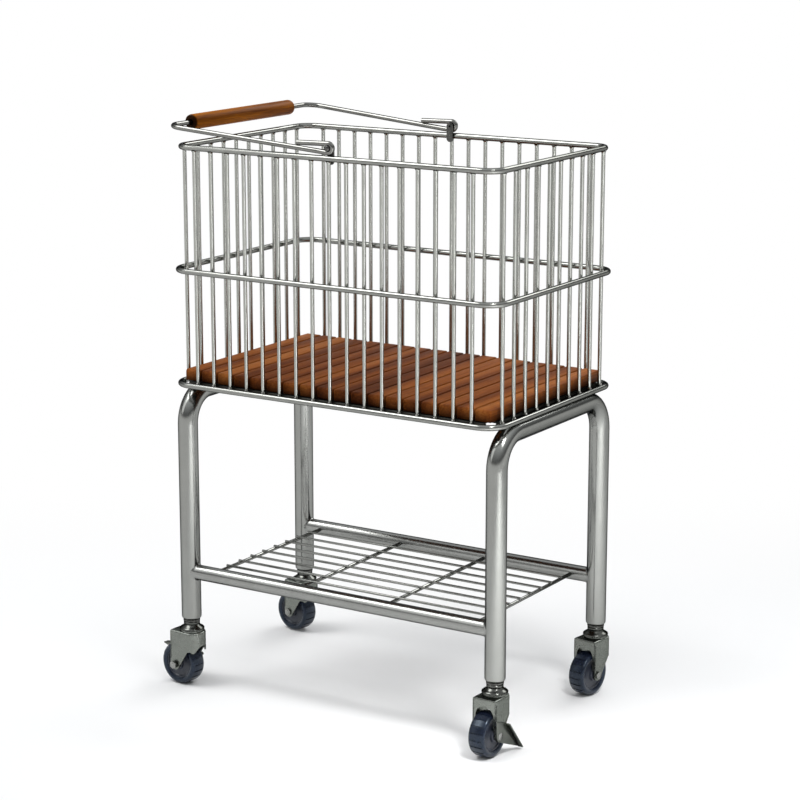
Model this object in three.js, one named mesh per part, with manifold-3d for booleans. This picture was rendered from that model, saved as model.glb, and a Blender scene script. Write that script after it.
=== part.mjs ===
// Ball cart: a welded wire basket with a slatted wooden floor and a swinging bail handle, carried
// by two bent tube leg frames with a wire shelf between them, on four swivel casters.
// Millimetres. X runs along the long sides, Y across the cart, Z up from the floor.
import * as THREE from "three";
import { mergeVertices } from "three/addons/utils/BufferGeometryUtils.js";
import Module from "manifold-3d";

const wasm = await Module();
wasm.setup();

// Clearances shared by the whole cart
const seatGap = 0.3; // between welded, seated or nested pieces
const turningGap = 0.3; // between a pin or wire and what turns on it
const weldDepth = 1.2; // how far welded wires sink into each other
const overrun = 5; // how far a cutter passes the face that it cuts

// Basket
const basketLength = 510; // rim centreline, along X
const basketWidth = 316; // rim centreline, along Y
const rimHeight = 783.6; // rim centreline above the floor
const rimCornerRadius = 22;
const rimWireRadius = 4.1;
const hoopWireRadius = 4;
const middleHoopDrop = 171.6; // below the rim
const bottomHoopDrop = 333.6;
const weldBeadLength = 7;
const weldBeadRise = 0.7;
const picketRadius = 2.75;
const longSidePicketCount = 17;
const longSideEndShare = 1.186; // outermost picket to the rim's end, in pitches
const endSidePicketCount = 10;
const endSideEndShare = 0.7145;

// Floor of the basket
const bearerRadius = 3;
const bearerEndInset = 15;
const slatGapWidth = 3.8;
const slatThickness = 16;
const slatEndGap = 2.5;
const slatEdgeChamfer = 1.6;
const slatEndChamfer = 4;

// Bail handle
const bailWireRadius = 3.5;
const bailOverhang = 1; // crossbar beyond the rim's centreline
const bailRise = 22.1; // crossbar above the arm's end at the eye
const bailSpread = 15; // each arm at the crossbar, sideways from its eye
const bailCornerRadius = 20;
const pivotPinRadius = 2.2;
const pivotHeadRadius = 4.2;
const pivotHeadThickness = 2.2;
const lugHalfWidth = 5.2; // the tab that carries the pivot pin
const lugThickness = 2.5;
const tailLength = 50; // folded back above the arm
const tailGap = 0.6; // between the tail and the arm
const eyeNeckLength = 15; // level wire between the eye and the arm
const gripEndInset = 38; // inside the rim's centreline
const gripRadius = 10.8;
const gripEndRound = 2.5;

// Leg frames, rails and shelf
const legTubeRadius = 14.3;
const legWall = 1.5;
const legBendRadius = 45;
const legFoot = 101; // lower end above the floor
const legInset = 9.3; // leg centre inside the lower hoop's centreline, along X
const legSideInset = 14; // leg centre inside the rim's centreline, along Y
const legSpunLength = 5; // rounded-in lower end
const legMouthRadius = 10.2;
const railHeight = 171.5;
const railRadius = 11;
const railWall = 1.2;
const crossbarRadius = 2.6;
const crossbarSpacingShare = 0.2849; // of the distance between the leg frames
const crossbarCount = 4;
const shelfWireRadius = 1.8;
const shelfWireCount = 8;

// Casters
const wheelRadius = 31.5;
const wheelWidth = 25;
const tyreCoreRadius = 22;
const tyreShoulderWidth = 17;
const hubFaceWidth = 21;
const hubBossRadius = 9;
const hubBossWidth = 28;
const axleRadius = 3.2;
const axleHeadRadius = 6;
const axleHeadThickness = 3;
const casterTrail = 18;
const forkHalfWidth = 18.5;
const forkSheet = 2.2;
const forkTop = 82.5;
const forkRear = 26; // behind the swivel axis
const forkFront = 20;
const forkFrontHalfWidth = 5.5;
const forkCorner = 14.5; // where the front wall turns, ahead of the swivel axis
const forkCornerHalfWidth = 13.5;
const forkSideFront = 8; // where the side walls end
const notchHeight = 56; // lower edge above the floor, where the side walls end
const earHeight = 50.5; // at the front wall's corners
const frontHeight = 62; // at the front wall's middle
const forkBossRadius = 8;
const archHalfWidth = 14;
const archTop = 72;
const raceRadius = 16.5;
const raceHeight = 2.5;
const cupRadius = 18;
const cupRimHeight = 1.8;
const cupNeckRadius = 11;
const stemRadius = 5.4;
const stemTop = 134;
const stemHeadRadius = 9;
const stemHeadThickness = 2.7;
const socketFlangeRadius = 12;
const socketFlangeHeight = 3.4;
const socketTop = 128;

// Brake lever of the two front casters: one cheek that turns on an end of the axle, with a toe
// tab bent up along its edge. Places are measured from the axle, with the tip level with it.
const leverReach = 57; // axle to tip
const leverShoulder = 5.5; // where the tab ends, ahead of the axle
const leverShoulderHeight = 20.5;
const leverHeel = 18.5; // behind the axle
const leverHeelHeight = 16;
const leverSheet = 2;
const leverTabWidth = 6;
const leverReleasedTurn = 13; // degrees that the tip of a released lever is raised
const leverPressedTurn = 30; // degrees that the tip of a pressed lever is lowered

// Swivel of each caster: degrees that its trail is turned from -X, counter-clockwise from above
const casterPlaces = [
  { name: "front_left", sideX: -1, sideY: -1, trailTurn: -5 },
  { name: "front_right", sideX: 1, sideY: -1, trailTurn: 88 },
  { name: "back_left", sideX: -1, sideY: 1, trailTurn: -10 },
  { name: "back_right", sideX: 1, sideY: 1, trailTurn: 82 },
];

// Sides of the faceted rounds
const wireSides = 8;
const picketSides = 6;
const tubeSides = 12;
const wheelSides = 22;
const turnedSides = 12;
const bendSteps = 3;
const hoopBendSteps = 6;
const tubeBendSteps = 5;
const roundTopSteps = 6;
const bossSteps = 6;

// Values that several pieces share
const hoopReach = picketRadius + seatGap + hoopWireRadius; // hoops run outside the pickets
const bottomHoopHeight = rimHeight - bottomHoopDrop;
const legX = basketLength / 2 + hoopReach - legInset;
const legY = basketWidth / 2 - legSideInset;
const picketPitch = pitchOf(basketLength, longSidePicketCount, longSideEndShare);
const endPicketPitch = pitchOf(basketWidth, endSidePicketCount, endSideEndShare);
const bailReach = basketLength / 2 + bailOverhang;
const crossbarSpacing = 2 * legX * crossbarSpacingShare;
const barHeight =
  bottomHoopHeight - reachAcross(legTubeRadius + hoopWireRadius + seatGap, legInset);
const bearerInset = picketRadius + bearerRadius - weldDepth;
const bearerHeight =
  barHeight +
  reachAcross(legTubeRadius + bearerRadius + seatGap, legX - basketLength / 2 + bearerInset);
const slatUnderside = bearerHeight + bearerRadius + seatGap;
const picketFoot = barHeight + legTubeRadius + seatGap;
const eyeRadius = pivotPinRadius + turningGap + bailWireRadius;
const armHeight = rimHeight + rimWireRadius + seatGap + bailWireRadius;
const pivotHeight = armHeight + eyeRadius;
const armSlope = bailRise / (bailReach - eyeNeckLength);
const tailClearance = 2 * bailWireRadius + tailGap;
const tailHeight = armHeight + armSlope * (tailLength - eyeNeckLength) + tailClearance;
const crossbarHeight = armHeight + bailRise;
const wheelCentreHeight = wheelRadius;
const raceTop = forkTop + raceHeight;
const socketFoot = legFoot - seatGap - socketFlangeHeight;

// The height of the third side of a right triangle whose long side and level side are given.
function reachAcross(slant, level) {
  return Math.sqrt(slant * slant - level * level);
}

// The pitch that spreads pickets along a side, with a share of a pitch left at each end.
function pitchOf(sideLength, count, endShare) {
  return sideLength / (count - 1 + 2 * endShare);
}

function point(x, y, z) {
  return new THREE.Vector3(x, y, z);
}

// Joins and cuts

function solidOf(geometry) {
  const bare = geometry.clone();
  bare.deleteAttribute("normal");
  bare.deleteAttribute("uv");
  const merged = mergeVertices(bare, 1e-4);
  return new wasm.Manifold(
    new wasm.Mesh({
      numProp: 3,
      vertProperties: merged.attributes.position.array,
      triVerts: new Uint32Array(merged.index.array),
    }),
  );
}

function geometryOf(solid) {
  const mesh = solid.getMesh();
  const geometry = new THREE.BufferGeometry();
  geometry.setAttribute("position", new THREE.BufferAttribute(mesh.vertProperties, 3));
  geometry.setIndex(new THREE.BufferAttribute(mesh.triVerts, 1));
  geometry.computeVertexNormals();
  return geometry;
}

function joined(geometries) {
  const solids = geometries.map(solidOf);
  return geometryOf(solids.reduce((whole, piece) => whole.add(piece)));
}

function cut(geometry, cutters) {
  const solid = cutters.map(solidOf).reduce((left, cutter) => left.subtract(cutter), solidOf(geometry));
  return geometryOf(solid);
}

function common(first, second) {
  return geometryOf(solidOf(first).intersect(solidOf(second)));
}

// Shapes

function disc(radius, sides) {
  const shape = new THREE.Shape();
  for (let i = 0; i < sides; i += 1) {
    const angle = (2 * Math.PI * (i + 0.5)) / sides;
    const x = radius * Math.cos(angle);
    const y = radius * Math.sin(angle);
    if (i === 0) shape.moveTo(x, y);
    else shape.lineTo(x, y);
  }
  shape.closePath();
  return shape;
}

function tubeSection(radius, wall, sides) {
  const shape = disc(radius, sides);
  shape.holes.push(new THREE.Path(disc(radius - wall, sides).getPoints().reverse()));
  return shape;
}

// The centreline of a bent wire or tube: straight runs with round bends at the inner corners.
// It has stations only where it starts, turns and ends.
class BentLine extends THREE.Curve {
  constructor(corners, bendRadius, steps) {
    super();
    this.stations = [];
    corners.forEach((corner, i) => {
      if (i === 0 || i === corners.length - 1) {
        const other = corners[i === 0 ? 1 : i - 1];
        const along = other.clone().sub(corner).normalize();
        this.stations.push({ at: corner, along: i === 0 ? along : along.negate() });
        return;
      }
      const into = corner.clone().sub(corners[i - 1]).normalize();
      const out = corners[i + 1].clone().sub(corner).normalize();
      const turn = into.angleTo(out);
      const radius = Array.isArray(bendRadius) ? bendRadius[i - 1] : bendRadius;
      const setback = radius * Math.tan(turn / 2);
      const start = corner.clone().addScaledVector(into, -setback);
      const side = out.clone().addScaledVector(into, -into.dot(out)).normalize();
      for (let k = 0; k <= steps; k += 1) {
        const angle = (turn * k) / steps;
        const at = start
          .clone()
          .addScaledVector(into, radius * Math.sin(angle))
          .addScaledVector(side, radius * (1 - Math.cos(angle)));
        const along = into.clone().multiplyScalar(Math.cos(angle));
        along.addScaledVector(side, Math.sin(angle));
        this.stations.push({ at, along });
      }
    });
  }

  get steps() {
    return this.stations.length - 1;
  }

  station(t) {
    return this.stations[Math.round(t * this.steps)];
  }

  getPoint(t, target = new THREE.Vector3()) {
    return target.copy(this.station(t).at);
  }

  getPointAt(t, target) {
    return this.getPoint(t, target);
  }

  getTangentAt(t, target = new THREE.Vector3()) {
    return target.copy(this.station(t).along);
  }
}

function swept(section, line) {
  return new THREE.ExtrudeGeometry(section, { steps: line.steps, extrudePath: line });
}

function rod(from, to, radius, sides) {
  return swept(disc(radius, sides), new BentLine([from, to], 0, 1));
}

// A plate: an outline in the XZ plane, given a thickness along Y and centred on y.
function plateXZ(outline, thickness, y) {
  const shape = new THREE.Shape(outline);
  const geometry = new THREE.ExtrudeGeometry(shape, { depth: thickness, bevelEnabled: false });
  geometry.rotateX(Math.PI / 2);
  geometry.translate(0, y + thickness / 2, 0);
  return geometry;
}

// A turned piece; its facets line up with those of a disc of as many sides.
function turned(profile, sides) {
  const points = profile.map(([r, z]) => new THREE.Vector2(r, z));
  const geometry = new THREE.LatheGeometry(points, sides);
  geometry.rotateX(Math.PI / 2);
  geometry.rotateZ(Math.PI / 2 + Math.PI / sides);
  return geometry;
}

// A turned piece whose axis lies along Y instead of Z.
function turnedAcross(profile, sides) {
  return turned(profile, sides).rotateX(-Math.PI / 2);
}

// Materials

function finish(color, roughness, metalness) {
  return new THREE.MeshStandardMaterial({ color, roughness, metalness });
}

const finishes = {
  wire: () => finish(0xc4c6c8, 0.2, 1),
  tube: () => finish(0xb4b6b6, 0.28, 1),
  slat: () => finish(0x7a3c1c, 0.55, 0),
  grip: () => finish(0x82400f, 0.45, 0),
  zinc: () => finish(0x8d918e, 0.42, 0.9),
  darkZinc: () => finish(0x3b3d3c, 0.35, 0.9),
  tyre: () => finish(0x20252f, 0.5, 0),
  hub: () => finish(0x1c2028, 0.5, 0),
};

const cart = new THREE.Group();

function add(name, geometry, material, parent = cart) {
  const mesh = new THREE.Mesh(geometry, material);
  mesh.name = name;
  parent.add(mesh);
  return mesh;
}

// Basket wires

// The corners of a level hoop, from the joint in its back run all the way round to it again.
function hoopCorners(reach, height, jointX) {
  const x = basketLength / 2 + reach;
  const y = basketWidth / 2 + reach;
  return [
    point(jointX, y, height),
    point(-x, y, height),
    point(-x, -y, height),
    point(x, -y, height),
    point(x, y, height),
    point(jointX, y, height),
  ];
}

function hoop(reach, height, wireRadius) {
  const jointX = (1 - longSidePicketCount / 2) * picketPitch;
  const corners = hoopCorners(reach, height, jointX);
  const wire = swept(
    disc(wireRadius, wireSides),
    new BentLine(corners, rimCornerRadius + reach, hoopBendSteps),
  );
  const half = weldBeadLength / 2;
  const bead = rod(
    point(jointX - half, basketWidth / 2 + reach, height),
    point(jointX + half, basketWidth / 2 + reach, height),
    wireRadius + weldBeadRise,
    wireSides,
  );
  return joined([wire, bead]);
}

function addHoops() {
  add("top_rim", hoop(0, rimHeight, rimWireRadius), finishes.wire());
  add("middle_hoop", hoop(hoopReach, rimHeight - middleHoopDrop, hoopWireRadius), finishes.wire());
  add("bottom_hoop", hoop(hoopReach, bottomHoopHeight, hoopWireRadius), finishes.wire());
}

// Places spaced evenly about zero.
function spread(count, pitch) {
  return Array.from({ length: count }, (_, i) => (i - (count - 1) / 2) * pitch);
}

// How far the rim's centreline lies from the basket's middle, at a distance along one side.
function rimOffset(along, halfSide, halfAcross) {
  const past = Math.max(0, Math.abs(along) - (halfSide - rimCornerRadius));
  return halfAcross - rimCornerRadius + reachAcross(rimCornerRadius, past);
}

// One side's upright wires, welded to the bearer rod that runs inside their feet.
function picketPanel(count, pitch, halfSide, halfAcross, side, bearerHalf) {
  const top = rimHeight - rimWireRadius - seatGap;
  const pickets = spread(count, pitch).map((along) => {
    const out = side * rimOffset(along, halfSide, halfAcross);
    return rod(point(along, out, picketFoot), point(along, out, top), picketRadius, picketSides);
  });
  const bearerOut = side * (halfAcross - bearerInset);
  const bearer = rod(
    point(-bearerHalf, bearerOut, bearerHeight),
    point(bearerHalf, bearerOut, bearerHeight),
    bearerRadius,
    wireSides,
  );
  return joined([bearer, ...pickets]);
}

function addPickets() {
  const halfX = basketLength / 2;
  const halfY = basketWidth / 2;
  const longBearer = halfX - bearerEndInset;
  const endBearer = ((endSidePicketCount - 1) * endPicketPitch) / 2 + bearerRadius;
  for (const [name, side] of [["front_pickets", -1], ["back_pickets", 1]]) {
    const panel = picketPanel(longSidePicketCount, picketPitch, halfX, halfY, side, longBearer);
    add(name, panel, finishes.wire());
  }
  for (const [name, side] of [["left_pickets", 1], ["right_pickets", -1]]) {
    const panel = picketPanel(endSidePicketCount, endPicketPitch, halfY, halfX, side, endBearer);
    add(name, panel.rotateZ(Math.PI / 2), finishes.wire());
  }
}

// Slatted floor

// A slat lying along Y: its top edges are eased and its ends slope down.
function slatGeometry(width, length) {
  const c = slatEdgeChamfer;
  const half = width / 2;
  const side = new THREE.Shape([
    new THREE.Vector2(-half, 0),
    new THREE.Vector2(half, 0),
    new THREE.Vector2(half, slatThickness - c),
    new THREE.Vector2(half - c, slatThickness),
    new THREE.Vector2(c - half, slatThickness),
    new THREE.Vector2(-half, slatThickness - c),
  ]);
  const bar = new THREE.ExtrudeGeometry(side, { depth: length, bevelEnabled: false });
  bar.rotateX(Math.PI / 2);
  bar.translate(0, length / 2, 0);
  const e = slatEndChamfer;
  const profile = new THREE.Shape([
    new THREE.Vector2(-length / 2, 0),
    new THREE.Vector2(length / 2, 0),
    new THREE.Vector2(length / 2, slatThickness - e),
    new THREE.Vector2(length / 2 - e, slatThickness),
    new THREE.Vector2(e - length / 2, slatThickness),
    new THREE.Vector2(-length / 2, slatThickness - e),
  ]);
  const block = new THREE.ExtrudeGeometry(profile, { depth: width, bevelEnabled: false });
  block.rotateX(Math.PI / 2);
  block.rotateZ(Math.PI / 2);
  block.translate(-half, 0, 0);
  return common(bar, block);
}

function addSlats() {
  const width = picketPitch - slatGapWidth;
  const length = basketWidth - 2 * (picketRadius + slatEndGap);
  const places = spread(longSidePicketCount + 1, picketPitch);
  places.forEach((x, i) => {
    const name = "slat_" + String(i + 1).padStart(2, "0");
    const slat = add(name, slatGeometry(width, length), finishes.slat());
    slat.position.set(x, 0, slatUnderside);
  });
}

// Bail handle

// The wire's line from the folded tail's end, down round the eye, and along the arm to the corner.
function bailArmPoints(y) {
  const points = [point(-tailLength, y, tailHeight)];
  const turns = 8;
  for (let i = 0; i <= turns; i += 1) {
    const angle = Math.PI / 2 - (Math.PI * i) / turns;
    const x = eyeRadius * Math.cos(angle);
    const z = pivotHeight + eyeRadius * Math.sin(angle);
    points.push(point(x, y, z));
  }
  points.push(point(-eyeNeckLength, y, armHeight));
  const spread = Math.sign(y) * bailSpread;
  points.push(point(-bailReach, y + spread, crossbarHeight));
  return points;
}

function addBail() {
  const y = basketWidth / 2;
  const near = bailArmPoints(-y);
  const far = bailArmPoints(y).reverse();
  const corners = [...near, ...far];
  const inner = corners.length - 2;
  const radii = Array.from({ length: inner }, () => eyeRadius / 4);
  radii[near.length - 2] = bailCornerRadius;
  radii[near.length - 1] = bailCornerRadius;
  const line = new BentLine(corners, radii, 1);
  smoothBailCorners(line, corners, near.length);
  add("bail_wire", swept(disc(bailWireRadius, wireSides), line), finishes.wire());
  addGrip();
  for (const [name, side] of [["front_bail_pivot", -1], ["back_bail_pivot", 1]]) {
    add(name, pivotGeometry(side), finishes.wire());
  }
}

// Gives the two large bends beside the crossbar more stations than the small ones at the eyes.
function smoothBailCorners(line, corners, nearCount) {
  const bends = new BentLine(
    corners.slice(nearCount - 2, nearCount + 2),
    bailCornerRadius,
    bendSteps,
  ).stations;
  const first = 1 + 2 * (nearCount - 2);
  line.stations.splice(first, 4, ...bends.slice(1, -1));
}

function addGrip() {
  const bore = bailWireRadius + turningGap;
  const half = basketWidth / 2 - gripEndInset;
  const e = gripEndRound;
  const profile = [
    [bore, -half],
    [gripRadius - e, -half],
    [gripRadius, e - half],
    [gripRadius, half - e],
    [gripRadius - e, half],
    [bore, half],
    [bore, -half],
  ];
  const grip = add("bail_grip", turnedAcross(profile, turnedSides), finishes.grip());
  grip.position.set(-bailReach, 0, crossbarHeight);
}

// A round-topped tab welded to the rim's inner face, with the headed pin that the eye turns on.
function pivotGeometry(side) {
  const rimY = basketWidth / 2;
  const tabY = rimY - rimWireRadius - seatGap - lugThickness / 2;
  const headY = rimY + bailWireRadius + turningGap;
  const outline = [
    new THREE.Vector2(-lugHalfWidth, rimHeight - rimWireRadius),
    new THREE.Vector2(lugHalfWidth, rimHeight - rimWireRadius),
  ];
  for (let i = 0; i <= roundTopSteps; i += 1) {
    const angle = (Math.PI * i) / roundTopSteps;
    const x = lugHalfWidth * Math.cos(angle);
    outline.push(new THREE.Vector2(x, pivotHeight + lugHalfWidth * Math.sin(angle)));
  }
  const tab = plateXZ(outline, lugThickness, side * tabY);
  const pinEnd = headY + pivotHeadThickness / 2;
  const pin = rod(
    point(0, side * tabY, pivotHeight),
    point(0, side * pinEnd, pivotHeight),
    pivotPinRadius,
    wireSides,
  );
  const head = rod(
    point(0, side * headY, pivotHeight),
    point(0, side * (headY + pivotHeadThickness), pivotHeight),
    pivotHeadRadius,
    turnedSides,
  );
  return joined([tab, pin, head]);
}

// Leg frames, rails and shelf

// The rounded-in mouth at a leg's lower end, for a leg that stands at y.
function legMouth(y) {
  const r = legTubeRadius;
  const top = legFoot + legSpunLength;
  const mid = legFoot + legSpunLength * 0.3;
  const profile = [
    [legMouthRadius, legFoot],
    [legMouthRadius + legWall, legFoot],
    [r - legWall / 2, mid],
    [r, top],
    [r, top + legWall],
    [r - legWall, top + legWall],
    [r - legWall, top],
    [legMouthRadius, mid + legWall],
    [legMouthRadius, legFoot],
  ];
  return turned(profile, tubeSides).translate(0, y, 0);
}

function addLegFrames() {
  for (const [name, side] of [["left_leg_frame", -1], ["right_leg_frame", 1]]) {
    const foot = legFoot + legSpunLength;
    const line = new BentLine(
      [point(0, -legY, foot), point(0, -legY, barHeight), point(0, legY, barHeight), point(0, legY, foot)],
      legBendRadius,
      tubeBendSteps,
    );
    const tube = swept(tubeSection(legTubeRadius, legWall, tubeSides), line);
    const frame = joined([tube, legMouth(-legY), legMouth(legY)]);
    add(name, frame, finishes.tube()).position.x = side * legX;
  }
}

// A rail between the legs, hollow, with ends that fit the legs' round faces.
function addRails() {
  const section = tubeSection(railRadius, railWall, tubeSides);
  const start = point(-legX, 0, railHeight);
  const end = point(legX, 0, railHeight);
  const blank = swept(section, new BentLine([start, end], 0, 1));
  const below = railHeight - railRadius - overrun;
  const above = railHeight + railRadius + overrun;
  const legCutter = (x) => rod(point(x, 0, below), point(x, 0, above), legTubeRadius + seatGap, tubeSides * 2);
  const rail = cut(blank, [legCutter(-legX), legCutter(legX)]);
  for (const [name, side] of [["front_rail", -1], ["back_rail", 1]]) {
    add(name, rail.clone(), finishes.tube()).position.y = side * legY;
  }
}

// Crossbars between the rails, with the shelf's long wires welded on top of them.
function addShelf() {
  const barHalf = legY - railRadius - seatGap;
  const wireHalf = ((crossbarCount - 1) * crossbarSpacing) / 2 + crossbarRadius;
  const wirePitch = (2 * barHalf) / (shelfWireCount + 1);
  const wireHeight = railHeight + crossbarRadius + shelfWireRadius - weldDepth;
  const bars = spread(crossbarCount, crossbarSpacing).map((x) =>
    rod(point(x, -barHalf, railHeight), point(x, barHalf, railHeight), crossbarRadius, wireSides),
  );
  const wires = spread(shelfWireCount, wirePitch).map((y) =>
    rod(point(-wireHalf, y, wireHeight), point(wireHalf, y, wireHeight), shelfWireRadius, picketSides),
  );
  add("shelf_grid", joined([...bars, ...wires]), finishes.wire());
}

// Casters, each drawn with its swivel axis at zero and its wheel trailing towards -X

// The fork's outline from the side: crown, pointed front corners and rounded axle ends.
function forkSideOutline() {
  const axleX = -casterTrail;
  const rearX = -forkRear;
  const outline = [
    new THREE.Vector2(rearX, forkTop),
    new THREE.Vector2(rearX, wheelCentreHeight + forkBossRadius),
  ];
  const slope = Math.atan2(notchHeight - wheelCentreHeight, forkSideFront - axleX);
  const reach = Math.hypot(notchHeight - wheelCentreHeight, forkSideFront - axleX);
  const last = slope - Math.acos(forkBossRadius / reach);
  for (let i = 0; i <= bossSteps; i += 1) {
    const angle = -Math.PI + ((last + Math.PI) * i) / bossSteps;
    outline.push(
      new THREE.Vector2(
        axleX + forkBossRadius * Math.cos(angle),
        wheelCentreHeight + forkBossRadius * Math.sin(angle),
      ),
    );
  }
  outline.push(new THREE.Vector2(forkSideFront, notchHeight));
  outline.push(new THREE.Vector2(forkCorner, earHeight));
  outline.push(new THREE.Vector2(forkFront, frontHeight));
  outline.push(new THREE.Vector2(forkFront, forkTop));
  return outline;
}

// The crown seen from above, shrunk by an inset: a blunt front, angled corners and a square back.
function crownBlock(inset, foot, top) {
  const half = forkHalfWidth - inset;
  const rear = -forkRear + inset;
  const edge = [
    [rear, half],
    [forkSideFront, half],
    [forkCorner - inset / 2, forkCornerHalfWidth - inset],
    [forkFront - inset, forkFrontHalfWidth - inset / 2],
  ];
  const shape = new THREE.Shape([
    ...edge.map(([x, y]) => new THREE.Vector2(x, -y)),
    ...edge.reverse().map(([x, y]) => new THREE.Vector2(x, y)),
  ]);
  const block = new THREE.ExtrudeGeometry(shape, { depth: top - foot, bevelEnabled: false });
  block.translate(0, 0, foot);
  return block;
}

// The doorway in the crown's back wall that the tyre stands in.
function archCutter() {
  const half = archHalfWidth;
  const shape = new THREE.Shape();
  shape.moveTo(-half, 0);
  shape.lineTo(half, 0);
  shape.lineTo(half, archTop - half / 2);
  shape.lineTo(half / 2, archTop);
  shape.lineTo(-half / 2, archTop);
  shape.lineTo(-half, archTop - half / 2);
  shape.closePath();
  const block = new THREE.ExtrudeGeometry(shape, { depth: forkRear, bevelEnabled: false });
  block.rotateX(Math.PI / 2);
  block.rotateZ(Math.PI / 2);
  block.translate(-casterTrail - forkRear, 0, 0);
  return block;
}

function forkGeometry() {
  const side = plateXZ(forkSideOutline(), 2 * forkHalfWidth, 0);
  const body = common(side, crownBlock(0, 0, forkTop));
  const race = turned(
    [
      [0, forkTop - forkSheet],
      [raceRadius, forkTop - forkSheet],
      [raceRadius, forkTop],
      [raceRadius - raceHeight / 2, raceTop],
      [0, raceTop],
    ],
    turnedSides,
  );
  const stemHole = rod(
    point(0, 0, forkTop - forkSheet - overrun),
    point(0, 0, raceTop + overrun),
    stemRadius + turningGap,
    turnedSides,
  );
  const axleHole = rod(
    point(-casterTrail, -forkHalfWidth - overrun, wheelCentreHeight),
    point(-casterTrail, forkHalfWidth + overrun, wheelCentreHeight),
    axleRadius + turningGap,
    wireSides,
  );
  const inside = crownBlock(forkSheet, -overrun, forkTop - forkSheet);
  return cut(joined([cut(body, [inside]), race]), [archCutter(), stemHole, axleHole]);
}

// The stem, its bearing cup over the fork's race, and the headed end that holds the fork.
function stemGeometry() {
  const cupFoot = raceTop + turningGap;
  const headTop = forkTop - forkSheet - turningGap;
  const neckTop = socketFoot - seatGap;
  return turned(
    [
      [0, headTop - stemHeadThickness],
      [stemHeadRadius, headTop - stemHeadThickness],
      [stemHeadRadius, headTop],
      [stemRadius, headTop],
      [stemRadius, cupFoot],
      [cupRadius, cupFoot],
      [cupRadius, cupFoot + cupRimHeight],
      [cupNeckRadius, neckTop],
      [stemRadius, neckTop],
      [stemRadius, stemTop],
      [0, stemTop],
    ],
    turnedSides,
  );
}

// The socket pressed into the leg's mouth, with a flange below it.
function socketGeometry() {
  const bore = stemRadius + seatGap;
  const sleeve = legMouthRadius - seatGap;
  return turned(
    [
      [bore, socketFoot],
      [socketFlangeRadius, socketFoot],
      [socketFlangeRadius, socketFoot + socketFlangeHeight],
      [sleeve, socketFoot + socketFlangeHeight],
      [sleeve, socketTop],
      [bore, socketTop],
      [bore, socketFoot],
    ],
    tubeSides,
  );
}

function tyreGeometry() {
  const shoulder = wheelRadius - (wheelWidth - tyreShoulderWidth) / 2;
  const w = wheelWidth / 2;
  const s = tyreShoulderWidth / 2;
  const crownRise = 0.6;
  return turnedAcross(
    [
      [tyreCoreRadius, -w],
      [shoulder - crownRise, -w],
      [wheelRadius - crownRise, -s],
      [wheelRadius, 0],
      [wheelRadius - crownRise, s],
      [shoulder - crownRise, w],
      [tyreCoreRadius, w],
      [tyreCoreRadius, -w],
    ],
    wheelSides,
  );
}

function hubGeometry() {
  const outer = tyreCoreRadius - seatGap;
  const bore = axleRadius + turningGap;
  const face = hubFaceWidth / 2;
  const boss = hubBossWidth / 2;
  return turnedAcross(
    [
      [bore, -boss],
      [hubBossRadius, -boss],
      [hubBossRadius + boss - face, -face],
      [outer, -face],
      [outer, face],
      [hubBossRadius + boss - face, face],
      [hubBossRadius, boss],
      [bore, boss],
      [bore, -boss],
    ],
    turnedSides + bendSteps,
  );
}

// An axle with a head at both ends; each side's grip is the distance from the middle to what
// the head holds, which is further out where a brake lever hangs on it.
function axleGeometry(lowGrip, highGrip) {
  const low = -lowGrip - seatGap;
  const high = highGrip + seatGap;
  return turnedAcross(
    [
      [0, low - axleHeadThickness],
      [axleHeadRadius, low - axleHeadThickness],
      [axleHeadRadius, low],
      [axleRadius, low],
      [axleRadius, high],
      [axleHeadRadius, high],
      [axleHeadRadius, high + axleHeadThickness],
      [0, high + axleHeadThickness],
    ],
    turnedSides,
  );
}

// The brake lever, drawn about the axle with its tip on +X and its tab towards -Y.
function leverGeometry() {
  const r = forkBossRadius;
  const tip = new THREE.Vector2(leverReach, 0);
  const shoulder = new THREE.Vector2(leverShoulder, leverShoulderHeight);
  const heel = new THREE.Vector2(-leverHeel, leverHeelHeight);
  const outline = [tip, shoulder, heel];
  const first = heel.angle() + Math.acos(r / heel.length());
  const last = 2 * Math.PI - Math.acos(r / leverReach);
  for (let i = 0; i <= bossSteps; i += 1) {
    const angle = first + ((last - first) * i) / bossSteps;
    outline.push(new THREE.Vector2(r * Math.cos(angle), r * Math.sin(angle)));
  }
  const cheek = plateXZ(outline, leverSheet, 0);
  const along = tip.clone().sub(shoulder).normalize();
  const inward = new THREE.Vector2(along.y, -along.x).multiplyScalar(leverSheet);
  const tabOutline = [tip, shoulder, shoulder.clone().add(inward), tip.clone().add(inward)];
  const tabEnd = leverSheet / 2 + leverTabWidth;
  const tab = plateXZ(tabOutline, tabEnd + leverSheet / 2, (leverSheet / 2 - tabEnd) / 2);
  const hole = rod(point(0, -leverSheet, 0), point(0, leverSheet, 0), axleRadius + turningGap, wireSides);
  const block = plateXZ(outline, 2 * tabEnd, 0);
  return cut(joined([cheek, common(tab, block)]), [hole]);
}

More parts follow.
